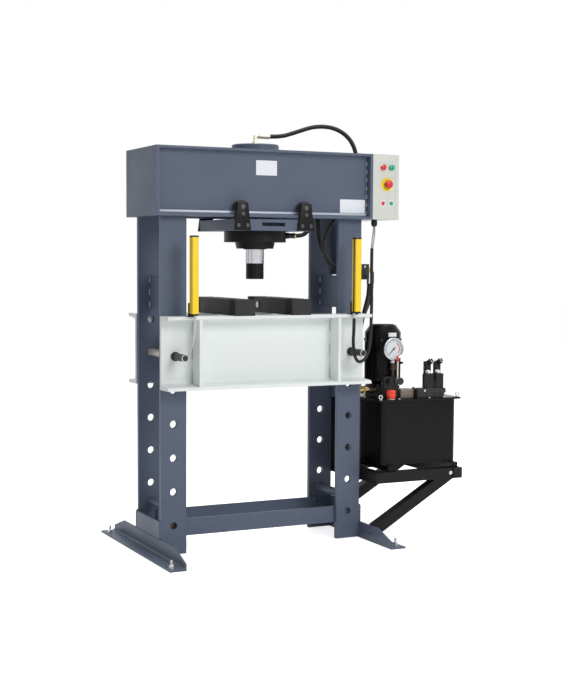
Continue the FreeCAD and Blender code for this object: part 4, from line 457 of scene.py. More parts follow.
NODE_FINISHES = {item["node"]: item["material_slot"] for item in frame["record"]["subparts"]}
NODE_FINISHES |= {
    "v_block_left": "cast_black",
    "v_block_right": "cast_black",
    "pump_block": "cast_black",
    "cylinder_barrel": "frame_paint",
    "curtain_plugs": "pale_plastic",
    "oil_tank": "tank_paint",
    "tank_lid": "tank_paint",
    "motor_housing": "motor_black",
    "ram_nose": "black_paint",
    "rollers_left": "dark_steel",
    "rollers_right": "dark_steel",
}
for node_name, item in frame["nodes"].items():
    item.data.materials.clear()
    item.data.materials.append(FINISHES[NODE_FINISHES[node_name]])

SLOT_OF = {
    "tank_paint": "black_paint",
    "stop_yellow": "yellow_paint",
    "label_white": "pale_plastic",
    "dial_white": "pale_plastic",
    "dial_ink": "black_plastic",
    "dial_red": "red_plastic",
    "wire_grey": "pale_plastic",
    "motor_black": "black_paint",
    "weld_grey": "frame_paint",
    "rubbed_paint": "frame_paint",
    "bed_weld": "bed_paint",
    "cast_black": "dark_steel",
    "lens_dark": "black_plastic",
    "pale_brass": "brass_fitting",
    "pale_metal": "zinc",
    "silver_nut": "zinc",
    "brown_metal": "dark_steel",
    "screw_steel": "dark_steel",
}

# ---- modelling

SMOOTH_BELOW = math.radians(34)
SOFTEN_ABOVE = math.radians(30)
BEAD_PITCH = 0.55
BEAD_SQUASH = 0.72


def only(piece):
    bpy.ops.object.select_all(action="DESELECT")
    piece.select_set(True)
    bpy.context.view_layer.objects.active = piece


def enter(mode):
    bpy.ops.object.mode_set(mode=mode)


def bake_place():
    bpy.ops.object.transform_apply(location=True, rotation=True, scale=True)


def modify(piece, kind, **settings):
    """Apply a modifier with these settings."""
    only(piece)
    change = piece.modifiers.new(kind, kind)
    for key, value in settings.items():
        setattr(change, key, value)
    bpy.ops.object.modifier_apply(modifier=change.name)


def settle(piece, name, look, body="frame"):
    """Name a shaped piece, put its place in its mesh and let it ride on a body."""
    only(piece)
    bake_place()
    bpy.ops.object.shade_smooth_by_angle(angle=SMOOTH_BELOW)
    piece.name = name
    piece.data.name = name
    piece.data.materials.clear()
    piece.data.materials.append(FINISHES[look])
    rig.slot(piece, SLOT_OF.get(look, look))
    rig.ride(piece, body)
    return piece


def facing(direction):
    """The turn that stands a piece's own Z axis along a direction."""
    return Vector(direction).to_track_quat("Z", "Y").to_matrix().to_4x4()


def spun(name, outline, steps, angle=math.tau):
    """An outline (radius, height) spun round its axis, left in edit mode."""
    mesh = bpy.data.meshes.new(name)
    points = [(radius * MM, 0, height * MM) for radius, height in outline]
    mesh.from_pydata(points, [(n, n + 1) for n in range(len(points) - 1)], [])
    piece = put(name, mesh)
    only(piece)
    enter("EDIT")
    bpy.ops.mesh.select_all(action="SELECT")
    bpy.ops.mesh.spin(steps=steps, angle=angle, center=(0, 0, 0), axis=(0, 0, 1))
    return piece


def turned(name, foot, direction, outline, look, body="frame", steps=40):
    """A turned piece: its half outline (radius, height) spun round its axis."""
    piece = spun(name, outline, steps)
    bpy.ops.mesh.select_all(action="SELECT")
    bpy.ops.mesh.remove_doubles(threshold=0.000001)
    bpy.ops.mesh.normals_make_consistent(inside=False)
    enter("OBJECT")
    piece.matrix_world = Matrix.Translation(spot(*foot)) @ facing(direction)
    return settle(piece, name, look, body)


def softened(outline, size=0.6):
    """An outline whose outer corners are cut back by a small chamfer."""
    soft = []
    for number, (radius, height) in enumerate(outline):
        corner = Vector((radius, height))
        ends = [Vector(outline[other]) for other in (number - 1, (number + 1) % len(outline))]
        if radius == 0 or number in (0, len(outline) - 1):
            soft.append((radius, height))
            continue
        for end in ends:
            away = end - corner
            step = min(size, away.length * 0.4)
            soft.append(tuple(corner + away.normalized() * step))
    return soft


def cylinder_outline(radius, long, chamfer=0.6):
    """A plain cylinder with both rims cut back."""
    low = [(0, 0), (radius - chamfer, 0), (radius, chamfer)]
    return low + [(radius, long - chamfer), (radius - chamfer, long), (0, long)]


def rod(name, foot, direction, radius, long, look, body="frame", steps=28, chamfer=0.6):
    return turned(name, foot, direction, cylinder_outline(radius, long, chamfer), look, body, steps)


def block(name, low, high, look, body="frame", bevel=1.0, segments=2, shape=None):
    """A box between two corners, shaped further in edit mode, with soft edges."""
    low, high = spot(*low), spot(*high)
    bpy.ops.object.select_all(action="DESELECT")
    bpy.ops.mesh.primitive_cube_add(size=1, location=(low + high) / 2)
    piece = bpy.context.active_object
    piece.scale = high - low
    bake_place()
    if shape:
        shape(piece)
    soft = {"width": bevel * MM, "segments": segments}
    modify(piece, "BEVEL", limit_method="ANGLE", angle_limit=SOFTEN_ABOVE, **soft)
    return settle(piece, name, look, body)


def pick(piece, kind, test):
    """Select the faces or edges whose middle and way pass a test, in edit mode."""
    only(piece)
    enter("EDIT")
    bpy.ops.mesh.select_mode(type=kind)
    bpy.ops.mesh.select_all(action="DESELECT")
    enter("OBJECT")
    mesh = piece.data
    if kind == "FACE":
        found = [(face, face.center, face.normal) for face in mesh.polygons]
    else:
        ends = [[mesh.vertices[corner].co for corner in edge.vertices] for edge in mesh.edges]
        found = [(edge, (a + b) / 2, (b - a).normalized()) for edge, (a, b) in zip(mesh.edges, ends)]
    for part, middle, way in found:
        part.select = bool(test(Vector(home(middle)), way))
    enter("EDIT")


def copied(piece, name, x=0, y=0, z=0, body=None):
    """A copy with its own mesh, moved by millimetres."""
    twin = piece.copy()
    twin.data = piece.data.copy()
    twin.data.transform(Matrix.Translation(Vector((x, y, z)) * MM))
    twin.name = name
    twin.data.name = name
    bpy.context.scene.collection.objects.link(twin)
    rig.ride(twin, body or piece["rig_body"])
    return twin


def copies(piece, name, places):
    """Copies of a piece, numbered from 1, at places counted from its own."""
    for number, place in enumerate(places, start=1):
        copied(piece, f"{name}_{number}", *place)


def joined(name, *pieces):
    only(pieces[0])
    for piece in pieces:
        piece.select_set(True)
    bpy.ops.object.join()
    pieces[0].name = name
    pieces[0].data.name = name
    return pieces[0]


def screw(name, foot, direction, radius, tall, look, body="frame"):
    """A socket screw's head: a turned head with a recess."""
    floor = tall * 0.45
    key = radius * 0.5
    outline = [(0, 0), (radius, 0), (radius, tall - radius * 0.12), (radius * 0.88, tall)]
    outline += [(key * 1.12, tall), (key, tall - key * 0.12), (key, floor), (0, floor)]
    return turned(name, foot, direction, outline, look, body, steps=24)


def hex_bolt(name, foot, direction, across, tall, look):
    """A six-sided head with a chamfered top, on a washer."""
    corner = across / math.sqrt(3)
    outline = [(0, 0), (corner, 0), (corner, tall * 0.85), (corner * 0.82, tall), (0, tall)]
    head = turned(name, foot, direction, outline, look, steps=6)
    ring = rod(name + "_washer", foot, direction, corner * 1.25, tall * 0.3, look, chamfer=0.3)
    return joined(name, head, ring)


def weld(name, start, end, size, look="frame_paint"):
    """A weld bead: overlapping drops in a row from start to end."""
    start, end = spot(*start), spot(*end)
    run = end - start
    pitch = size * BEAD_PITCH * MM
    bpy.ops.object.select_all(action="DESELECT")
    bpy.ops.mesh.primitive_uv_sphere_add(segments=10, ring_count=6, radius=size * MM / 2)
    piece = bpy.context.active_object
    piece.matrix_world = Matrix.Translation(start) @ facing(run) @ Matrix.Diagonal((1, 1, BEAD_SQUASH, 1))
    bake_place()
    row = {"count": max(2, int(run.length / pitch)), "constant_offset_displace": run.normalized() * pitch}
    modify(piece, "ARRAY", use_relative_offset=False, use_constant_offset=True, **row)
    return settle(piece, name, look)


def beads(name, run, size, look, *rows):
    """A weld bead along a run, and its copies wherever the rows across, deep and up meet."""
    start, *others = product(*rows)
    first = weld(f"{name}_0", start, [low + step for low, step in zip(start, run)], size, look)
    copies(first, name, ([there - here for there, here in zip(place, start)] for place in others))


# ---- hoses and cables


def baked(curve):
    return bpy.data.meshes.new_from_object(curve.evaluated_get(bpy.context.evaluated_depsgraph_get()))


def draw_route(name, points, radius):
    """A smooth curve that follows a route's points, and its middle line."""
    data = bpy.data.curves.new(name, "CURVE")
    data.dimensions = "3D"
    data.resolution_u = 10
    line = data.splines.new("NURBS")
    line.points.add(len(points) - 1)
    for point, place in zip(line.points, points):
        point.co = (*spot(*place), 1)
    line.order_u = 3
    line.use_endpoint_u = True
    curve = put(name, data)
    path = [point.co.copy() for point in baked(curve).vertices]
    data.bevel_depth = radius * MM
    data.bevel_resolution = 5
    data.use_fill_caps = True
    return curve, path


def cord_length(path):
    return sum((after - before).length for before, after in zip(path, path[1:]))


def lay_cord(name, points, radius, look, node, stiffness, crossing=None):
    """A hose or cable on its route; one that crosses a joint is a mesh that bends."""
    piece, path = draw_route(name, points, radius)
    piece.data.materials.append(FINISHES[look])
    if crossing:
        bpy.context.view_layer.update()
        solid = baked(piece)
        bpy.data.objects.remove(piece)
        piece = put(name, solid)
        piece.data.materials.clear()
        piece.data.materials.append(FINISHES[look])
        only(piece)
        bpy.ops.object.shade_smooth()
        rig.blend(piece, "carriage", "frame", start=crossing[0], end=crossing[1])
    else:
        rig.ride(piece, "frame")
    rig.slot(piece, SLOT_OF.get(look, look))
    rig.replaces(piece, node)
    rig.cord(
        piece,
        exit=tuple(path[0]),
        length=cord_length(path),
        diameter=radius * 2 * MM,
        far_end="object",
        stiffness=stiffness,
        lay="loose",
        path=path if crossing else None,
    )
    return piece


HOSE = 10
top_route = [
    (92, 0, 1866), (150, 0, 1866), (226, -9, 1891), (310, -26, 1920), (390, -46, 1919),
    (448, -68, 1890), (484, -86, 1842), (499, -95, 1778), (494, -96, 1700), (468, -92, 1622),
    (430, -84, 1552), (390, -76, 1490), (358, -72, 1436), (340, -70, 1385), (340, -73, 1335),
    (362, -81, 1292), (396, -92, 1262), (430, -101, 1246), (456, -104, 1240), (483.5, -104, 1240),
]
top_start = spot(*top_route[0])
top_crossing = (top_start, top_start + Vector((0.300, 0, -0.200)))
side_route = [
    (212, -30, 1413), (238, -30, 1413), (264, -37, 1424), (280, -46, 1451), (284, -52, 1494),
    (283, -50, 1546), (292, -34, 1592), (314, -6, 1616), (342, 24, 1606), (360, 42, 1568),
    (366, 44, 1518), (362, 30, 1462), (355, 8, 1410), (356, -14, 1360), (374, -33, 1314),
    (400, -43, 1280), (430, -46, 1256), (457, -46, 1240), (483.5, -46, 1240),
]
side_crossing = (spot(225, -30, 1413), spot(480, -30, 1413))
front_pack_route = [
    (561.5, -112, 1192), (561.5, -112, 1146), (545.5, -110, 1086), (525, -108, 1010),
    (514, -108, 930), (509, -110, 850), (512, -112, 775), (512, -112, 714),
]
rear_pack_route = [
    (589.5, -86, 1192), (589.5, -86, 1146), (571.5, -79, 1084), (541, -70, 1010),
    (523, -62, 930), (514, -59, 850), (512, -60, 775), (512, -60, 714),
]
for name, route, node, crossing in (
    ("hose_to_cap", top_route, "hose_top", top_crossing),
    ("hose_to_head", side_route, "hose_rod_side", side_crossing),
    ("pack_hose_front", front_pack_route, "pack_hoses", None),
    ("pack_hose_rear", rear_pack_route, "pack_hoses", None),
):
    lay_cord(name, route, HOSE, "hose_rubber", node, "stiff", crossing)

WIRE = 3
WIRE_ASIDE = 3.5
GLAND_X = 546
for number, aside in enumerate((-WIRE_ASIDE, WIRE_ASIDE), start=1):
    wire_route = [
        (GLAND_X + aside, -182, 1458), (GLAND_X + aside, -182, 1433),
        (GLAND_X + 1.6 * aside - 9, -190, 1400), (525 + aside, -200, 1356),
    ]
    lay_cord(f"control_wire_{number}", wire_route, WIRE, "wire_grey", "control_cable", "medium")

SLEEVE = 7.5
sleeve_route = [
    (525, -200, 1356), (523, -201, 1240), (526, -202, 1120), (523, -203, 1015), (519, -207, 944),
    (508, -214, 893), (488, -226, 859), (461, -240, 840), (431, -254, 836), (409, -263, 853),
    (396, -269, 890), (392, -270, 940), (397, -268, 985), (397, -268, 1038),
]
lay_cord("control_sleeve", sleeve_route, SLEEVE, "hose_rubber", "control_cable", "medium")

THIN_WIRE = 2.5
curtain_route = [
    (-381, -268, 1038), (-381, -268, 1002), (-389, -271, 958), (-400, -264, 908),
    (-408, -238, 876), (-408, -206, 862), (-408, -167, 862),
]
lay_cord("curtain_wire_left", curtain_route, THIN_WIRE, "pale_plastic", "curtain_cable_left", "medium")

# ---- shared shapes


def bent(name, points, radius, look, body="frame"):
    """A bent pipe or wire along a smooth route."""
    only(draw_route(name, points, radius)[0])
    bpy.ops.object.convert(target="MESH")
    return settle(bpy.context.active_object, name, look, body)


def swing(piece, centre, axis, degrees):
    """Turn a piece's mesh round an axis through a place."""
    middle = Matrix.Translation(spot(*centre))
    turn = Matrix.Rotation(math.radians(degrees), 4, Vector(axis))
    piece.data.transform(middle @ turn @ middle.inverted())


def around(name, piece, centre, axis, count, sweep=360.0):
    """Copies of a piece at even turns round an axis, joined into one piece."""
    ring = [piece]
    for number in range(1, count):
        twin = copied(piece, f"{name}_{number}")
        swing(twin, centre, axis, sweep * number / count)
        ring.append(twin)
    return joined(name, *ring)


def ribs(name, low, high, look, centre, axis, count, body="frame", bevel=0.3):
    """A small block and its copies round an axis."""
    return around(name, block(name, low, high, look, body, bevel), centre, axis, count)


def ring_outline(radius, wire):
    """A round wire's outline, closed, for a ring."""
    turns = [math.tau * number / 10 for number in range(11)]
    return [(radius + wire * math.cos(turn), wire * math.sin(turn)) for turn in turns]


def thread_outline(radius, long, pitch, deep):
    """A threaded stud's outline with a chamfered end."""
    outline = [(0, 0)]
    for number in range(int(long / pitch)):
        outline += [(radius - deep, number * pitch), (radius, (number + 0.5) * pitch)]
    return outline + [(radius - deep, long - deep), (radius - deep * 2, long), (0, long)]


def crimp(name, foot, direction, long, radius, look, body="frame"):
    """A hose's pressed sleeve: a collar, a waist and pressed rings."""
    outline = [(radius * 0.82, 0), (radius, 1), (radius, 5), (radius * 0.93, 6.5)]
    pitch = (long - 14) / 4
    for number in range(4):
        low = 6.5 + number * pitch
        outline += [
            (radius * 0.93, low + pitch * 0.15),
            (radius * 0.99, low + pitch * 0.3),
            (radius * 0.99, low + pitch * 0.8),
            (radius * 0.93, low + pitch * 0.95),
        ]
    outline += [(radius, long - 6), (radius, long - 1), (radius * 0.84, long)]
    return turned(name, foot, direction, outline, look, body, steps=28)


def hexagon_nut(name, foot, direction, corner, long, look, body="frame"):
    """A six-sided nut with turned chamfers at both ends."""
    outline = [(0, 0), (corner * 0.87, 0), (corner, corner * 0.09)]
    outline += [(corner, long - corner * 0.09), (corner * 0.87, long), (0, long)]
    return turned(name, foot, direction, outline, look, body, steps=6)


def arc_strip(name, centre, direction, radius, low, high, start, sweep, thick, look):
    """A strip bent round part of an axis, from low to high along it."""
    piece = spun(name, [(radius, low), (radius, high)], 24, math.radians(sweep))
    enter("OBJECT")
    piece.data.transform(Matrix.Rotation(math.radians(start), 4, "Z"))
    modify(piece, "SOLIDIFY", thickness=thick * MM, offset=0)
    piece.matrix_world = Matrix.Translation(spot(*centre)) @ facing(direction)
    return settle(piece, name, look)


FRONT, REAR = (0, -1, 0), (0, 1, 0)
UP, DOWN = (0, 0, 1), (0, 0, -1)
LEFT, RIGHT = (-1, 0, 0), (1, 0, 0)
SIDES = (("left", -1), ("right", 1))
FACES = (("front", -1), ("rear", 1))

# ---- crown, columns and base

CROWN_FACE = 162
LIP_ROOT = 1517
COLUMN_MIDDLE = 435.5
FLAT_INSIDE = 132

for name, low, high in (
    ("crown_plate_small", (-48, -162.9, 1677), (55, -CROWN_FACE, 1743)),
    ("crown_plate_long", (376, -162.9, 1518), (507, -CROWN_FACE, 1580)),
):
    block(name, low, high, "label_white", bevel=0.25, segments=1)


def highlighted_lip_root(name, face):
    """The rounded root of the lower lip along the rollers' way, in a light paint that is a painted highlight where
    light from above catches it.
    """

    def slope(piece):
        pick(piece, "FACE", lambda middle, normal: normal.z > 0.9)
        bpy.ops.transform.resize(value=(1, 0.2, 1), center_override=spot(0, face * CROWN_FACE, LIP_ROOT))
        enter("OBJECT")

    low, high = sorted((face * (CROWN_FACE + 3), face * CROWN_FACE))
    block(name, (-512, low, 1504), (512, high, LIP_ROOT), "rubbed_paint", bevel=0.3, shape=slope)


for word, face in FACES:
    highlighted_lip_root(f"highlighted_lip_root_{word}", face)
# Plates on the right column's outer side: two in the gap, one behind the tank's bracket.
block("column_side_plate", (495.6, 60, 1232), (501.4, 151, 1488), "frame_paint", bevel=0.8)
block("column_side_plate_low", (495.6, 60, 641), (501.4, 151, 760), "frame_paint", bevel=0.8)
block("bracket_back_plate", (495.7, -151, 273), (505.3, 151, 640), "black_paint")

for (side_word, side), (face_word, face) in product(SIDES, FACES):
    word, foot = f"{side_word}_{face_word}", (side * COLUMN_MIDDLE, face * 131.9, 130)
    look = "brown_metal" if word == "left_front" else "frame_paint"
    rod(f"low_hole_{word}", foot, (0, -face, 0), 19, 1.5, look, steps=32)

spacer_bead = [(19, 0), (25, 0), (23.5, 3), (19, 5.5)]
for (side_word, side), (face_word, face) in product(SIDES, FACES):
    word = f"{side_word}_{face_word}"
    # Stitch beads down the crown's corners, their light grey a painted highlight.
    for number in range(7):
        low, high = ((side * 513.5, face * 164.5, 1512 + 38 * number + up) for up in (0, 17))
        weld(f"crown_bead_{word}_{number}", low, high, 6, "weld_grey")
    low, high = ((side * 374, face * 133.6, z) for z in (81, 152))
    weld(f"bar_bead_{word}", low, high, 6)
    low, high = ((side * 497.8, face * y, 156) for y in (150, 134))
    weld(f"side_plate_bead_{word}", low, high, 6)
    foot = (side * COLUMN_MIDDLE, face * FLAT_INSIDE, 200)
    turned(f"spacer_bead_{word}", foot, (0, -face, 0), spacer_bead, "frame_paint")

# Stitch beads at the tie plates' edges, their light grey a painted edge highlight.
tie_edges = [side * COLUMN_MIDDLE + aside for side in (-1, 1) for aside in (-7.7, 7.7)]
beads("tie_bead", (0, 0, 28), 6, "weld_grey", tie_edges, (-130.4, 130.4), (1086, 1141, 1198))
beads("foot_bead", (0, 40, 0), 5, "frame_paint", (-504.6, 504.6), (-148, -62.7, 22.6, 107.9), (76.4,))

# Anchors in the feet: washer, nut and a threaded stud.
FOOT_TOP = 8
ANCHOR = (-544.5, -410, FOOT_TOP)
anchor = joined(
    "anchor_0",
    rod("anchor_washer", ANCHOR, UP, 14, 2.5, "zinc", steps=32, chamfer=0.4),
    hexagon_nut("anchor_nut", (-544.5, -410, FOOT_TOP + 2.5), UP, 11, 11, "zinc"),
    turned("anchor_stud", ANCHOR, UP, thread_outline(6, 33, 1.5, 0.6), "zinc", steps=20),
)
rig.replaces(anchor, "anchor_bolts")
copies(anchor, "anchor", ((0, 810), (1089, 0), (1089, 810)))
# A spare hole in the left foot, shown as a raised black rim round a thin black disc on the foot's face; the disc's
# darkness is painted shade standing in for the hole's depth.
rim = [(6.4, -0.4), (6.6, 0.25), (7.4, 0.1), (7.4, 0)]
turned("foot_spare_hole", (-515, -348, FOOT_TOP), UP, rim, "black_plastic", steps=28)
rod("foot_hole_shade_disc", (-515, -348, FOOT_TOP), UP, 6.5, 0.15, "black_plastic", chamfer=0.05)

# ---- bed

# Weld beads on both sides of the bed's ribs, their grey tone painted shade along the ribs.
bed_edges = (-354.6, -337.4, 325.4, 342.6)
beads("bed_bead", (0, 0, 50), 6, "bed_weld", bed_edges, (-169, 169), (765, 870, 980))

PIN_HEIGHT = 880
collar = [(0, 0), (19.2, 0), (20, 0.8), (20, 6.6), (19.4, 7.2), (20, 7.8), (20, 14.2), (19.2, 15), (0, 15)]
grip = [(0, 0), (16, 0), (16, 60), (15.3, 60.7), (15.3, 63.3), (16, 64), (16, 104.7), (0, 104.7)]
PIN_PARTS = (
    ("shank", 190, "pale_metal", 36, [(0, 0), (13, 0), (16, 4), (16, 357), (0, 357)]),
    ("collar", -167.3, "dark_steel", 36, collar),
    ("grip", -182.3, "dark_steel", 36, grip),
    ("rim", -287, "steel", 36, [(16, 0), (14, 3), (12.6, 3), (12.4, 2.4)]),
    ("end", -287, "dark_steel", 36, [(12.4, 2.4), (4.6, 2.4), (4.2, 2), (4.2, -5)]),
    ("centre", -282.6, "black_plastic", 20, [(0, 0), (4.3, 0)]),
)
for word, side in SIDES:
    body = f"bed_pin_{word}"
    for part, y, look, steps, outline in PIN_PARTS:
        foot = (side * COLUMN_MIDDLE, y, PIN_HEIGHT)
        pin = turned(f"pin_{part}_{word}", foot, FRONT, outline, look, body, steps)
        if part == "shank":
            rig.replaces(pin, body)

disc = [(0, 0), (14.6, 0), (14.8, 0.2), (14.2, 0.9), (4, 1), (2.4, -0.4), (0, -0.6)]
turned("lifting_pin_face", (94, 128, 1091), LEFT, disc, "steel", steps=36)

# ---- light curtains

LENS_PITCH = 20
lens_dome = [(3.6, 0), (3.4, 0.7), (2.2, 1.3), (0, 1.6)]
plug_outline = [(6, 0), (6, 7), (5.3, 8), (5.3, 15), (4.4, 18), (3.4, 24), (0, 24)]
for word, x, inner in (("left", -389, 1), ("right", 405, -1)):
    foot = (x + inner * 12, -274, 1086)
    lens = turned(f"curtain_lens_{word}", foot, (inner, 0, 0), lens_dome, "lens_dark", steps=16)
    lenses = [copied(lens, f"lens_{word}_{number}", z=LENS_PITCH * number) for number in range(1, 15)]
    joined(f"curtain_lenses_{word}", lens, *lenses)
    for cap_word, z in (("low", 1062), ("high", 1397)):
        low, high = (x - 14.2, -292.2, z), (x + 14.2, -255.8, z + 7)
        block(f"curtain_cap_{word}_{cap_word}", low, high, "black_plastic", bevel=1.6, segments=3)
    for number, aside in enumerate((-5, 5)):
        screw(f"curtain_screw_{word}_{number}", (x + aside, -274 + aside, 1404), UP, 2.4, 1.4, "zinc")
    for number, aside in enumerate((-12, 12)):
        screw(f"bracket_screw_{word}_{number}", (x + aside, -236, 1058), UP, 5, 4.5, "zinc")
        screw(f"housing_screw_{word}_{number}", (x + aside, -253, 1096), REAR, 4.2, 3.4, "zinc")
    plug_x = x + inner * 8
    plug_foot = (plug_x, -268, 1062)
    sleeve = turned(f"curtain_plug_{word}", plug_foot, DOWN, plug_outline, "pale_plastic", steps=24)
    if inner > 0:
        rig.replaces(sleeve, "curtain_plugs")
    low, high = (plug_x - 0.5, -274.4, 1055), (plug_x + 0.5, -273.4, 1062)
    ribs(f"plug_ribs_{word}", low, high, "pale_plastic", plug_foot, UP, 12, bevel=0.2)

# ---- control box

BOX_FACE = -195
HIGH_RING = [(11.3, 0), (14.6, 0), (14.6, 0.7), (13.6, 1), (11.3, 1)]
HIGH_CAP = [(0, 0.2), (10.9, 0.2), (10.9, 5.6), (13.6, 5.6), (14, 6.2), (13.6, 8.6), (11.6, 10), (0, 10.4)]
LOW_RING = [(11.3, 0), (16.2, 0), (16.2, 1.6), (15, 3), (12, 3), (11.3, 2.2)]
LOW_CAP = [(0, 0.2), (10.9, 0.2), (10.9, 1.6), (10.2, 2.6), (0, 2.8)]
for row, z in (("upper", 1730), ("lower", 1565)):
    for hue, x in (("red", 583), ("green", 627)):
        button, foot = f"button_{row}_{hue}", (x, BOX_FACE, z)
        if row == "upper":
            ring, cap, ring_look, cap_look = HIGH_RING, HIGH_CAP, "zinc", f"{hue}_plastic"
        else:
            ring, cap, ring_look, cap_look = LOW_RING, LOW_CAP, "label_white", "label_white"
            mark = (x, BOX_FACE - 2.8, z)
            rod(f"{button}_mark", mark, FRONT, 9, 0.7, f"{hue}_plastic", button, 32, 0.3)
        bezel = turned(f"{button}_bezel", foot, FRONT, ring, ring_look)
        cap_piece = turned(f"{button}_cap", foot, FRONT, cap, cap_look, button, 36)
        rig.replaces(cap_piece, button)
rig.replaces(bezel, "button_collars")

STOP = (605, BOX_FACE, 1652)
disc = [(0, 0), (30.4, 0), (31, 0.5), (31, 1.3), (30.2, 2), (20, 2), (19.4, 1.7), (18.8, 2), (0, 2)]
turned("stop_disc", STOP, FRONT, disc, "stop_yellow", steps=56)
neck = [(15, 2), (15, 3.6), (13.4, 4.4), (12.6, 7), (12.6, 13)]
turned("stop_neck", STOP, FRONT, neck, "black_plastic")
cap = [
    (0, 12.5), (12, 12.5), (17.6, 13.6), (19.6, 15.4), (20, 17.6), (19.8, 20.4), (19.2, 21), (19, 22.4),
    (17.8, 25), (15.2, 27.2), (11, 28.7), (6, 29.3), (0, 29.5),
]
stop = turned("stop_mushroom", STOP, FRONT, cap, "red_plastic", "emergency_button", 48)
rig.replaces(stop, "emergency_button")

GLAND = (GLAND_X, -182, 1490)
dome = [(0, 8), (14.4, 8), (14.4, 10), (14, 11), (13.8, 22), (12.8, 27), (10.6, 30.6), (8.6, 32), (0, 32)]
gland = turned("gland_dome", GLAND, DOWN, dome, "black_plastic", steps=36)
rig.replaces(gland, "cable_gland")
hexagon_nut("gland_nut", GLAND, DOWN, 15, 8, "black_plastic")
ribs("gland_ribs", (545.2, -196.5, 1466), (546.8, -195.2, 1479), "black_plastic", GLAND, UP, 14)

# ---- roller carriage

HANGER_BACK, HANGER_FACE = 200, 215
HANGER_TOP = 1554
AXLE_HEIGHT = 1533.8


def hanger(name, x, face):
    """A tapered plate with two rounded top corners, its screws and its axle's end."""

    def taper(piece):
        pick(piece, "FACE", lambda middle, normal: normal.z > 0.9)
        bpy.ops.transform.resize(value=(0.625, 1, 1), center_override=spot(x, face * 207.5, HANGER_TOP))
        enter("OBJECT")
        pick(piece, "EDGE", lambda middle, way: middle.z > 1550 and abs(way.y) > 0.9)
        bpy.ops.mesh.bevel(offset=7 * MM, segments=6, affect="EDGES")
        enter("OBJECT")

    low, high = sorted((face * HANGER_BACK, face * HANGER_FACE))
    corners = (x - 40, low, 1431), (x + 40, high, HANGER_TOP)
    plate = block(name, *corners, "black_paint", "carriage", 1.2, shape=taper)
    out = (0, face, 0)
    for number, (aside, z) in enumerate(((0, 1503), (-21.5, 1453), (21.5, 1453))):
        foot = (x + aside, face * HANGER_FACE, z)
        screw(f"{name}_screw_{number}", foot, out, 8.4, 5.5, "screw_steel", "carriage")
    end = [(0, 0), (10.4, 0), (10.4, 1.2), (9.4, 2), (3, 2), (1.6, 0.8), (0, 0.6)]
    foot = (x, face * HANGER_FACE, AXLE_HEIGHT)
    turned(f"{name}_axle_end", foot, out, end, "screw_steel", "carriage", 32)
    foot = (x, face * HANGER_BACK, AXLE_HEIGHT)
    rod(f"{name}_axle", foot, (0, -face, 0), 11, 30, "dark_steel", "carriage", chamfer=0.8)
    return plate


hub = [(0, 0), (19, 0), (19, 0.9), (17, 1.3), (13, 1.3), (12.4, 0.4)]
for number, (x, rollers) in enumerate(((-134, "rollers_left"), (178, "rollers_right"))):
    for word, face in FACES:
        plate = hanger(f"hanger_{number}_{word}", x, face)
        foot = (x, face * 171.9, AXLE_HEIGHT)
        turned(f"roller_hub_{number}_{word}", foot, (0, -face, 0), hub, "dark_steel", rollers, 32)
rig.replaces(plate, "carriage_hangers")

CYLINDER = 22
wiper = [(43, 0), (53, 0), (53.6, 0.6), (53, 2.6), (50, 3.4), (44.4, 3.4), (43, 2.4)]
turned("rod_wiper", (CYLINDER, 0, 1352), DOWN, wiper, "black_plastic", "carriage", 48)
seam = [(107, -4), (110.5, -2.4), (111.4, 0), (110.5, 2.4), (107, 4)]
turned("barrel_cap_seam", (CYLINDER, 0, 1762), UP, seam, "frame_paint", "carriage", 64)

ELBOW_HEIGHT = 1866
hexagon_nut("cap_nut", (CYLINDER, 0, 1824), UP, 16, 18, "pale_brass", "carriage")
elbow_route = [(CYLINDER, 0, z) for z in (1838, 1852, ELBOW_HEIGHT)]
elbow_route += [(x, 0, ELBOW_HEIGHT) for x in (36, 46)]
elbow = bent("cap_elbow", elbow_route, 9.4, "pale_brass", "carriage")
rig.replaces(elbow, "cylinder_fittings")
crimp("cap_sleeve", (38, 0, ELBOW_HEIGHT), RIGHT, 54, 13, "pale_brass", "carriage")


def head_port(x):
    """A place on the axis of the cylinder head's fitting."""
    return (x, -30, 1413)


rod("head_stub", head_port(156), RIGHT, 10, 30, "dark_steel", "carriage")
hexagon_nut("head_nut", head_port(164), RIGHT, 16, 14, "dark_steel", "carriage")
crimp("head_sleeve", head_port(182), RIGHT, 30, 12, "dark_steel", "carriage")
ring = [(10.2, 0), (12.4, 0), (13.8, 2), (13.8, 5), (12.4, 7), (10.2, 7)]
turned("head_sleeve_ring", head_port(205), RIGHT, ring, "brass_fitting", "carriage", 32)

# ---- hose fittings

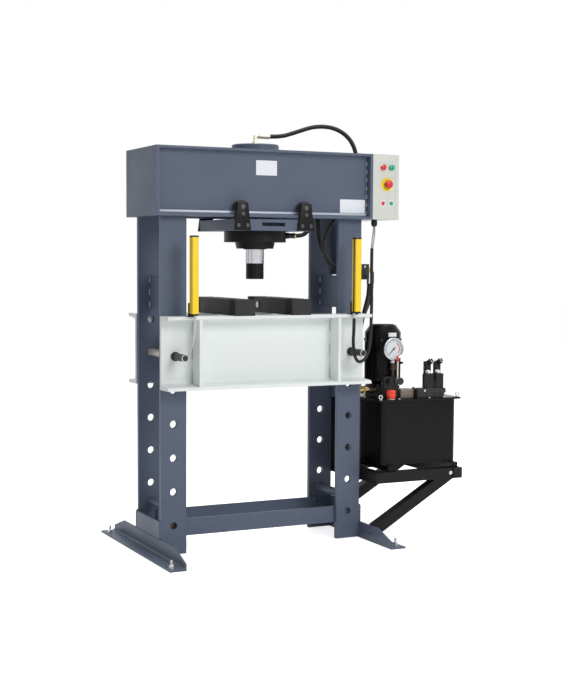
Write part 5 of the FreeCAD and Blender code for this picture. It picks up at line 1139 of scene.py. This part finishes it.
JUNCTION_FACE = -150
OUTLET_HEIGHT = 1262
PACK_HEIGHT = 690
rod("junction_screw", (516, JUNCTION_FACE, 1272), FRONT, 5.4, 3, "zinc", steps=24, chamfer=0.7)
screw("junction_bolt", (524, JUNCTION_FACE, 1224), FRONT, 6.5, 5, "dark_steel")
for word, y in (("front", -104), ("rear", -46)):
    hexagon_nut(f"inlet_nut_{word}", (489.5, y, 1240), RIGHT, 16, 12, "zinc")
    crimp(f"inlet_sleeve_{word}", (456, y, 1240), RIGHT, 34, 12.4, "zinc")
collar = softened([(0, 0), (16, 0), (16, 18), (0, 18)], 1.4)
for word, y, x, row, look in (("front", -112, 561.5, -112, "zinc"), ("rear", -86, 589.5, -60, "dark_steel")):
    route = [(along, y, OUTLET_HEIGHT) for along in (538, x - 14, x)] + [(x, y, z) for z in (1248, 1238)]
    stub = bent(f"outlet_elbow_{word}", route, 8, "brass_fitting")
    hexagon_nut(f"outlet_nut_{word}", (539.5, y, OUTLET_HEIGHT), RIGHT, 12.5, 10, "brass_fitting")
    crimp(f"outlet_sleeve_{word}", (x, y, 1248), DOWN, 56, 12, look)
    crimp(f"pack_sleeve_{word}", (512, row, 732), DOWN, 30, 12.2, "brass_fitting")
    route = [(512, row, z) for z in (706, 698, PACK_HEIGHT)] + [(x, row, PACK_HEIGHT) for x in (521, 532)]
    bent(f"pack_elbow_{word}", route, 9.6, "brass_fitting")
    rod(f"pack_run_{word}", (528, row, PACK_HEIGHT), RIGHT, 10, 69, "brass_fitting", chamfer=0.5)
    hexagon_nut(f"pack_nut_{word}", (540, row, PACK_HEIGHT), RIGHT, 17, 20, "brass_fitting")
    turned(f"pack_collar_{word}", (568, row, PACK_HEIGHT), RIGHT, collar, "dark_steel", steps=36)
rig.replaces(stub, "hose_fittings")

# ---- bracket and tank

block("arm_plug", (927, -296.5, 273), (975, -293.5, 321), "black_plastic", bevel=1.4)
block("arm_end_left", (506.5, -291.6, 273), (554.5, -289, 321), "black_paint", bevel=0.8)
rib = block("arm_plug_rib", (930, -298.2, 276), (972, -296, 279), "black_plastic", bevel=0.7)
copies(rib, "arm_plug_rib", ((0, 0, number * 6.6) for number in range(1, 7)))
hex_bolt("bracket_bolt", (914, -290, 299), FRONT, 13, 5, "zinc")
for number, (y, x) in enumerate(product((-288.6, 152.6), (556.8, 924.6))):
    weld(f"bracket_bead_{number}", (x, y, 276), (x, y, 319), 5, "black_paint")
for number, y in enumerate((-288, -242, 156, 202)):
    weld(f"strut_bead_{number}", (884, y, 271), (921, y, 271), 5, "black_paint")

LID_TOP = 654
lid = block("lid_plate", (545, -252, 645), (990, 132, LID_TOP), "tank_paint", bevel=1.6, segments=3)
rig.replaces(lid, "tank_lid")
block("lid_seal", (570, -237, 642.6), (979, 117, 645.2), "black_plastic", bevel=0.6)
for number, (x, y) in enumerate(((563, -60), (972, -60), (656, 114), (879, 114))):
    hex_bolt(f"lid_bolt_{number}", (x, y, LID_TOP), UP, 13, 6, "zinc")
for number, x in enumerate((820, 656, 900)):
    screw(f"lid_screw_{number}", (x, -243, LID_TOP), UP, 5, 4.6, "zinc")
base = [(0, 0), (8, 0), (8, 1.6), (4.6, 3), (4, 6), (0, 6)]
for number, x in enumerate((557, 978)):
    turned(f"lifting_eye_{number}", (x, -240, 667.5), FRONT, ring_outline(8.5, 3), "zinc", steps=32)
    turned(f"eye_base_{number}", (x, -240, LID_TOP), UP, base, "zinc", steps=28)
for word, x in (("left", 576), ("right", 973)):
    weld(f"tank_seam_{word}", (x, -209, 349), (x, -209, 641), 3.4, "tank_paint")

# ---- motor

MOTOR = (657, -80)
MANIFOLD_TOP = 709
PLATE_START = 108


def motor_side(reach, turn, z):
    """A place round the motor, out from its axis, and the way out from there."""
    out = (math.cos(turn), math.sin(turn), 0)
    return (MOTOR[0] + reach * out[0], MOTOR[1] + reach * out[1], z), out


for number, (radius, steps) in enumerate(((52, 48), (42, 40), (32, 40), (22, 40))):
    wire = ring_outline(radius, 1.5)
    turned(f"fan_ring_{number}", (*MOTOR, 996.4), UP, wire, "black_plastic", steps=steps)
low, high = (669, -81.2, 995.4), (712, -78.8, 998.4)
ribs("fan_spokes", low, high, "black_plastic", (*MOTOR, 996), UP, 8, bevel=0.6)
middle = softened([(0, 0), (14, 0), (14, 3.4), (0, 4.2)])
turned("fan_middle", (*MOTOR, 996), UP, middle, "black_plastic", steps=32)
band = softened([(86, 0), (87.4, 0), (87.4, 7), (86, 7)], 0.4)
turned("cowl_band", (*MOTOR, 917), UP, band, "motor_black", steps=64)
flange = [(60, 0), (74, 0), (75, 1), (75, 8), (74, 9), (60, 9)]
turned("motor_flange", (*MOTOR, MANIFOLD_TOP), UP, flange, "motor_black", steps=56)
flange_screw = screw("flange_screw", (724, -80, 718), UP, 5, 5, "zinc")
around("flange_screws", flange_screw, (*MOTOR, 718), UP, 6)
cowl_screw = screw("cowl_screw", *motor_side(86, 1.0 + math.pi, 926), 5.5, 4, "dark_steel")
around("cowl_screws", cowl_screw, (*MOTOR, 926), UP, 4)
lug = [(0, 0), (6.5, 0), (6.5, 9), (5, 11), (3.4, 11), (3, 15), (0, 15.4)]
turned("motor_lug", *motor_side(85, math.radians(-23.5), 814), lug, "black_plastic", steps=24)
arc_strip("motor_plate", (*MOTOR, 942.5), UP, 86.5, 0, 19, PLATE_START, 30, 0.8, "label_white")

manifold_screw = screw("manifold_screw_0", (606, -131, MANIFOLD_TOP), UP, 6.5, 6, "dark_steel")
copies(manifold_screw, "manifold_screw", ((102, 0), (0, 102), (102, 102)))
for number, (z, x) in enumerate(product((668, 700), (611, 667))):
    screw(f"tower_screw_{number}", (x, -196, z), FRONT, 4.4, 3.6, "dark_steel")

# ---- gauge

GAUGE_X, GAUGE_Z = 650, 887
GAUGE_STEM = -188


def dial(y):
    """A place on the gauge's axis."""
    return (GAUGE_X, y, GAUGE_Z)


case = [
    (0, 0), (44, 0), (48.6, 1.6), (50, 4), (50, 14.5), (51.6, 15.2), (53, 16.4), (53, 22.2), (52.2, 23.6),
    (50.6, 24), (49.2, 23.4), (48.6, 22.2), (47.6, 23), (46.4, 22.6), (45.2, 21.4), (44.6, 18.9),
]
case_piece = turned("gauge_case", dial(-176), FRONT, case, "gauge_metal", steps=72)
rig.replaces(case_piece, "pressure_gauge")
face = [(3.4, 0), (45, 0), (45, 0.4), (3.4, 0.4)]
turned("gauge_dial", dial(-194.6), FRONT, face, "dial_white", steps=64)
for name, half, y, inner, count, sweep in (
    ("dial_ticks", 0.25, -195.3, 37, 41, 277),
    ("dial_long_ticks", 0.5, -195.35, 33, 9, 303),
):
    low, high = (GAUGE_X - half, y, GAUGE_Z + inner), (GAUGE_X + half, -195, GAUGE_Z + 42)
    tick = block(name, low, high, "dial_ink", bevel=0.05)
    swing(tick, dial(0), REAR, -135)
    around(name, tick, dial(0), REAR, count, sweep)
arc_strip("dial_scale", dial(-195), FRONT, 42.3, 0, 0.25, 225, 270, 1.2, "dial_ink")
arc_strip("dial_red_band", dial(-195), FRONT, 31, 0, 0.3, 62, 105, 4, "dial_red")
hub = [(0, 0), (5, 0), (5, 0.7), (4, 1.4), (0, 1.6)]
turned("needle_cap", dial(-197.4), FRONT, hub, "dial_ink", "gauge_needle", 28)
stem = [(0, 0), (7, 0), (7, 26), (6, 27), (6, 62), (8, 64), (8, 77.4)]
turned("gauge_stem", (GAUGE_X, GAUGE_STEM, 757), UP, stem, "brown_metal", steps=28)
hexagon_nut("gauge_nut", (GAUGE_X, GAUGE_STEM, 820), UP, 11, 14, "zinc")
hexagon_nut("gauge_low_nut", (GAUGE_X, GAUGE_STEM, 757), UP, 12, 9, "dark_steel")
block("gauge_valve", (637, -201, 787), (663, -175, 815), "brown_metal", bevel=2.2, segments=3)
rod("gauge_valve_plug", (GAUGE_X, -201, 801), FRONT, 7, 3.4, "brown_metal", chamfer=0.8)

# ---- lever, knobs and cap

STEM_FACE = -204.3
KNOB_HEIGHT = 738
FLOW_STEM = (664, STEM_FACE, KNOB_HEIGHT)
hub = [(6.9, 0), (11.4, 0), (12, 0.6), (12, 10.4), (11.4, 11), (6.9, 11)]
lever = turned("lever_hub", FLOW_STEM, FRONT, hub, "zinc", "release_lever")
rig.replaces(lever, "release_lever")
arm = [(0, 0), (4, 0), (4, 76), (3.4, 82), (0, 82)]
turned("lever_rod", (664, -209.8, 748), UP, arm, "pale_metal", "release_lever", 24)
grip = [(0, 0), (4.4, 0), (5.4, 1.4), (6, 4), (6, 22), (5.6, 25), (4.4, 27.2), (2.4, 28), (0, 28)]
turned("lever_grip", (664, -209.8, 828), UP, grip, "red_plastic", "release_lever", 32)

knob = [
    (0, 0), (4, 0), (4, 2), (10.6, 2), (11.8, 3.2), (11.8, 24.6), (10.6, 26), (6, 26), (5.4, 25), (0, 25),
]
valve_stem = (620, STEM_FACE, KNOB_HEIGHT)
valve_knob = turned("valve_knob_body", valve_stem, FRONT, knob, "black_plastic", "valve_knob")
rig.replaces(valve_knob, "valve_knob")
low, high = (619, -228.6, 749.2), (621, -208, 751)
ribs("valve_knob_ribs", low, high, "black_plastic", valve_stem, REAR, 18, "valve_knob", 0.5)

cone = [
    (0, 0), (4, 0), (4, 11.3), (7.4, 11.3), (8, 12), (16.2, 28.6), (17, 30), (17, 34.6), (16.2, 35.3),
    (13, 35.3), (12, 34.3), (5, 34.3), (4.4, 35.3), (0, 35.3),
]
flow_knob = turned("flow_knob_body", FLOW_STEM, FRONT, cone, "dark_steel", "flow_knob", 48)
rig.replaces(flow_knob, "flow_knob")
low, high = (663.4, -239.2, 754.5), (664.6, -234.6, 755.4)
ribs("flow_knob_ribs", low, high, "dark_steel", FLOW_STEM, REAR, 36, "flow_knob")

FILLER = (621, -225, LID_TOP)
cap = [
    (0, 0), (16, 0), (17, 1), (17, 10), (20.6, 10), (21.2, 11), (21.2, 36), (20.4, 40), (18, 43),
    (14.6, 44), (10, 43.2), (0, 42.8),
]
filler = turned("filler_cap_body", (621, -225, 654.2), UP, cap, "orange_plastic", "filler_cap", 48)
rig.replaces(filler, "filler_cap")
low, high = (620, -247, 666), (622, -245.6, 690)
ribs("filler_cap_ribs", low, high, "orange_plastic", FILLER, UP, 20, "filler_cap", 0.6)
neck = [(17.2, 0), (21, 0), (21, 2.4), (19.4, 3.4), (17.6, 3.4)]
turned("filler_flange", FILLER, UP, neck, "zinc")

# ---- valve block and coils

VALVE_FACE = -240
block("cover_body", (680.4, -214.6, LID_TOP), (751.6, -153.4, 697.6), "tan_paint", bevel=4, segments=4)
screw("cover_screw", (716, -184, 697.6), UP, 5, 3.4, "zinc")
valve = block("valve_base", (756, VALVE_FACE, LID_TOP), (905, -180, 699), "cast_black", bevel=1.6)
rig.replaces(valve, "valve_block")
port = softened([(0, 0), (9.5, 0), (9.5, 3), (5, 3), (5, 0.6), (0, 0.6)], 0.5)
for number, x in enumerate((778, 812, 858, 890)):
    turned(f"valve_port_{number}", (x, VALVE_FACE, 676), FRONT, port, "dark_steel", steps=28)
end_plug = softened([(0, 0), (13, 0), (13, 20), (0, 20)], 1.6)
turned("valve_end_plug", (905, -210, 684), RIGHT, end_plug, "dark_steel", steps=36)
hexagon_nut("valve_end_nut", (905, -210, 684), RIGHT, 15, 8, "dark_steel")
for number, (x, y) in enumerate(product((764, 897), (-232, -188))):
    screw(f"valve_screw_{number}", (x, y, 699), UP, 5, 5, "dark_steel")
small_plug = [(0, 0), (5, 0), (5, 4), (0, 4.6)]
turned("valve_small_plug", (795, VALVE_FACE, 690), FRONT, small_plug, "zinc", steps=20)


def waist(piece):
    """A coil's four sides, sunk inside a rim."""
    pick(piece, "FACE", lambda middle, normal: abs(normal.z) < 0.5)
    bpy.ops.mesh.inset(thickness=4 * MM, depth=-1.6 * MM, use_individual=True)
    enter("OBJECT")


OUTLET_LEAN = Vector((0.35, -0.75, 0.56)).normalized()
washer = [(0, 0), (8, 0), (8, 3), (11, 3), (11, 4), (0, 4)]
stem = [(0, 0), (5, 0), (5, 2.4), (4, 3), (0, 3)]
outlet = [
    (0, 0), (12.4, 0), (13, 1), (13, 20), (13.8, 21), (13.8, 25), (12.6, 26), (12.6, 30), (12, 31.4),
    (9, 32), (8.2, 31), (8, 20), (0, 20),
]
rim = [(8.6, 0), (12, 0), (12.6, 0.7), (12, 1.8), (9, 1.8), (8.6, 1)]
for number, x in enumerate((832, 886)):
    low, high = (x - 20, -230, 699), (x + 20, -190, 767)
    coil = block(f"coil_{number}", low, high, "black_plastic", bevel=1.4, shape=waist)
    if number == 0:
        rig.replaces(coil, "solenoid_coils")
    turned(f"coil_washer_{number}", (x, -210, 767), UP, washer, "zinc", steps=32)
    hexagon_nut(f"coil_nut_{number}", (x, -210, 770), UP, 13, 12, "silver_nut")
    turned(f"coil_stem_{number}", (x, -210, 782), UP, stem, "silver_nut", steps=24)
    plug_x = x + 14
    low, high = (plug_x - 15, -190, 729), (plug_x + 15, -166, 823)
    block(f"coil_plug_{number}", low, high, "black_plastic", bevel=2.4, segments=3)
    screw(f"coil_plug_screw_{number}", (plug_x, -174, 823), UP, 4, 2.6, "zinc")
    root = Vector((plug_x, -178, 811))
    turned(f"coil_outlet_{number}", root, OUTLET_LEAN, outlet, "black_plastic", steps=32)
    rim_at = root + 31 * OUTLET_LEAN
    turned(f"coil_outlet_rim_{number}", rim_at, OUTLET_LEAN, rim, "pale_plastic", steps=32)

# ---- floor, world and light

FLOOR_HEIGHT = -0.0005
FLOOR_LIFT = 0.74
ROOM_LIGHT = 0.29


def seen_plainly(tree):
    """One for a ray that shows the background itself, straight, mirrored or through glass."""
    rays = add_node(tree, "LightPath").outputs
    seen = sum_of(tree, "MAXIMUM", rays["Is Camera Ray"], rays["Is Glossy Ray"])
    return sum_of(tree, "MAXIMUM", seen, rays["Is Transmission Ray"])


def make_floor():
    bpy.ops.object.select_all(action="DESELECT")
    bpy.ops.mesh.primitive_plane_add(size=ROOM_SIZE, location=(0, 0, FLOOR_HEIGHT))
    floor = bpy.context.active_object
    floor.name = "floor"
    material = bpy.data.materials.new("pale_floor")
    material.use_nodes = True
    tree = material.node_tree
    shader = tree.nodes["Principled BSDF"]
    shader.inputs["Base Color"].default_value = (0.9, 0.9, 0.9, 1)
    shader.inputs["Roughness"].default_value = 0.9
    shader.inputs["Specular IOR Level"].default_value = 0.0
    lift = sum_of(tree, "MULTIPLY", seen_plainly(tree), FLOOR_LIFT)
    glow = add_node(tree, "Emission", {"Color": (1, 1, 1, 1), "Strength": lift})
    both = add_node(tree, "AddShader", {0: shader.outputs[0], 1: glow.outputs[0]})
    tree.links.new(both.outputs[0], tree.nodes["Material Output"].inputs["Surface"])
    floor.data.materials.append(material)
    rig.stage(floor)


def make_world():
    world = bpy.data.worlds.new("studio")
    bpy.context.scene.world = world
    world.use_nodes = True
    tree = world.node_tree
    light = tree.nodes["Background"]
    light.inputs["Color"].default_value = (1, 1, 1, 1)
    light.inputs["Strength"].default_value = ROOM_LIGHT
    white = add_node(tree, "Background", {"Color": (1, 1, 1, 1), "Strength": 1.0})
    values = {0: seen_plainly(tree), 1: light.outputs[0], 2: white.outputs[0]}
    mixed = add_node(tree, "MixShader", values)
    tree.links.new(mixed.outputs[0], tree.nodes["World Output"].inputs["Surface"])


def make_lamp(name, place, aim, size, power):
    data = bpy.data.lights.new(name, "AREA")
    data.shape = "DISK"
    data.size = size
    data.energy = power
    lamp = put(name, data)
    lamp.location = place
    lamp.rotation_mode = "QUATERNION"
    lamp.rotation_quaternion = (Vector(aim) - Vector(place)).to_track_quat("-Z", "Y")


make_floor()
make_world()
make_lamp("key_lamp", (1.0, -5.6, 3.8), (0, 0, 1.0), 3.0, 165)
make_lamp("side_lamp", (5.0, -1.5, 2.6), (0, 0, 1.0), 3.0, 20)
make_lamp("top_lamp", (0.5, 0.5, 5.5), (0, 0, 0.5), 4.0, 230)
bpy.context.scene.view_settings.view_transform = "Standard"

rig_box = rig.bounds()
with open("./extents.json", "w") as file:
    json.dump({"cad": [list(corner) for corner in cad_box], "visual": [list(corner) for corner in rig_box]}, file)
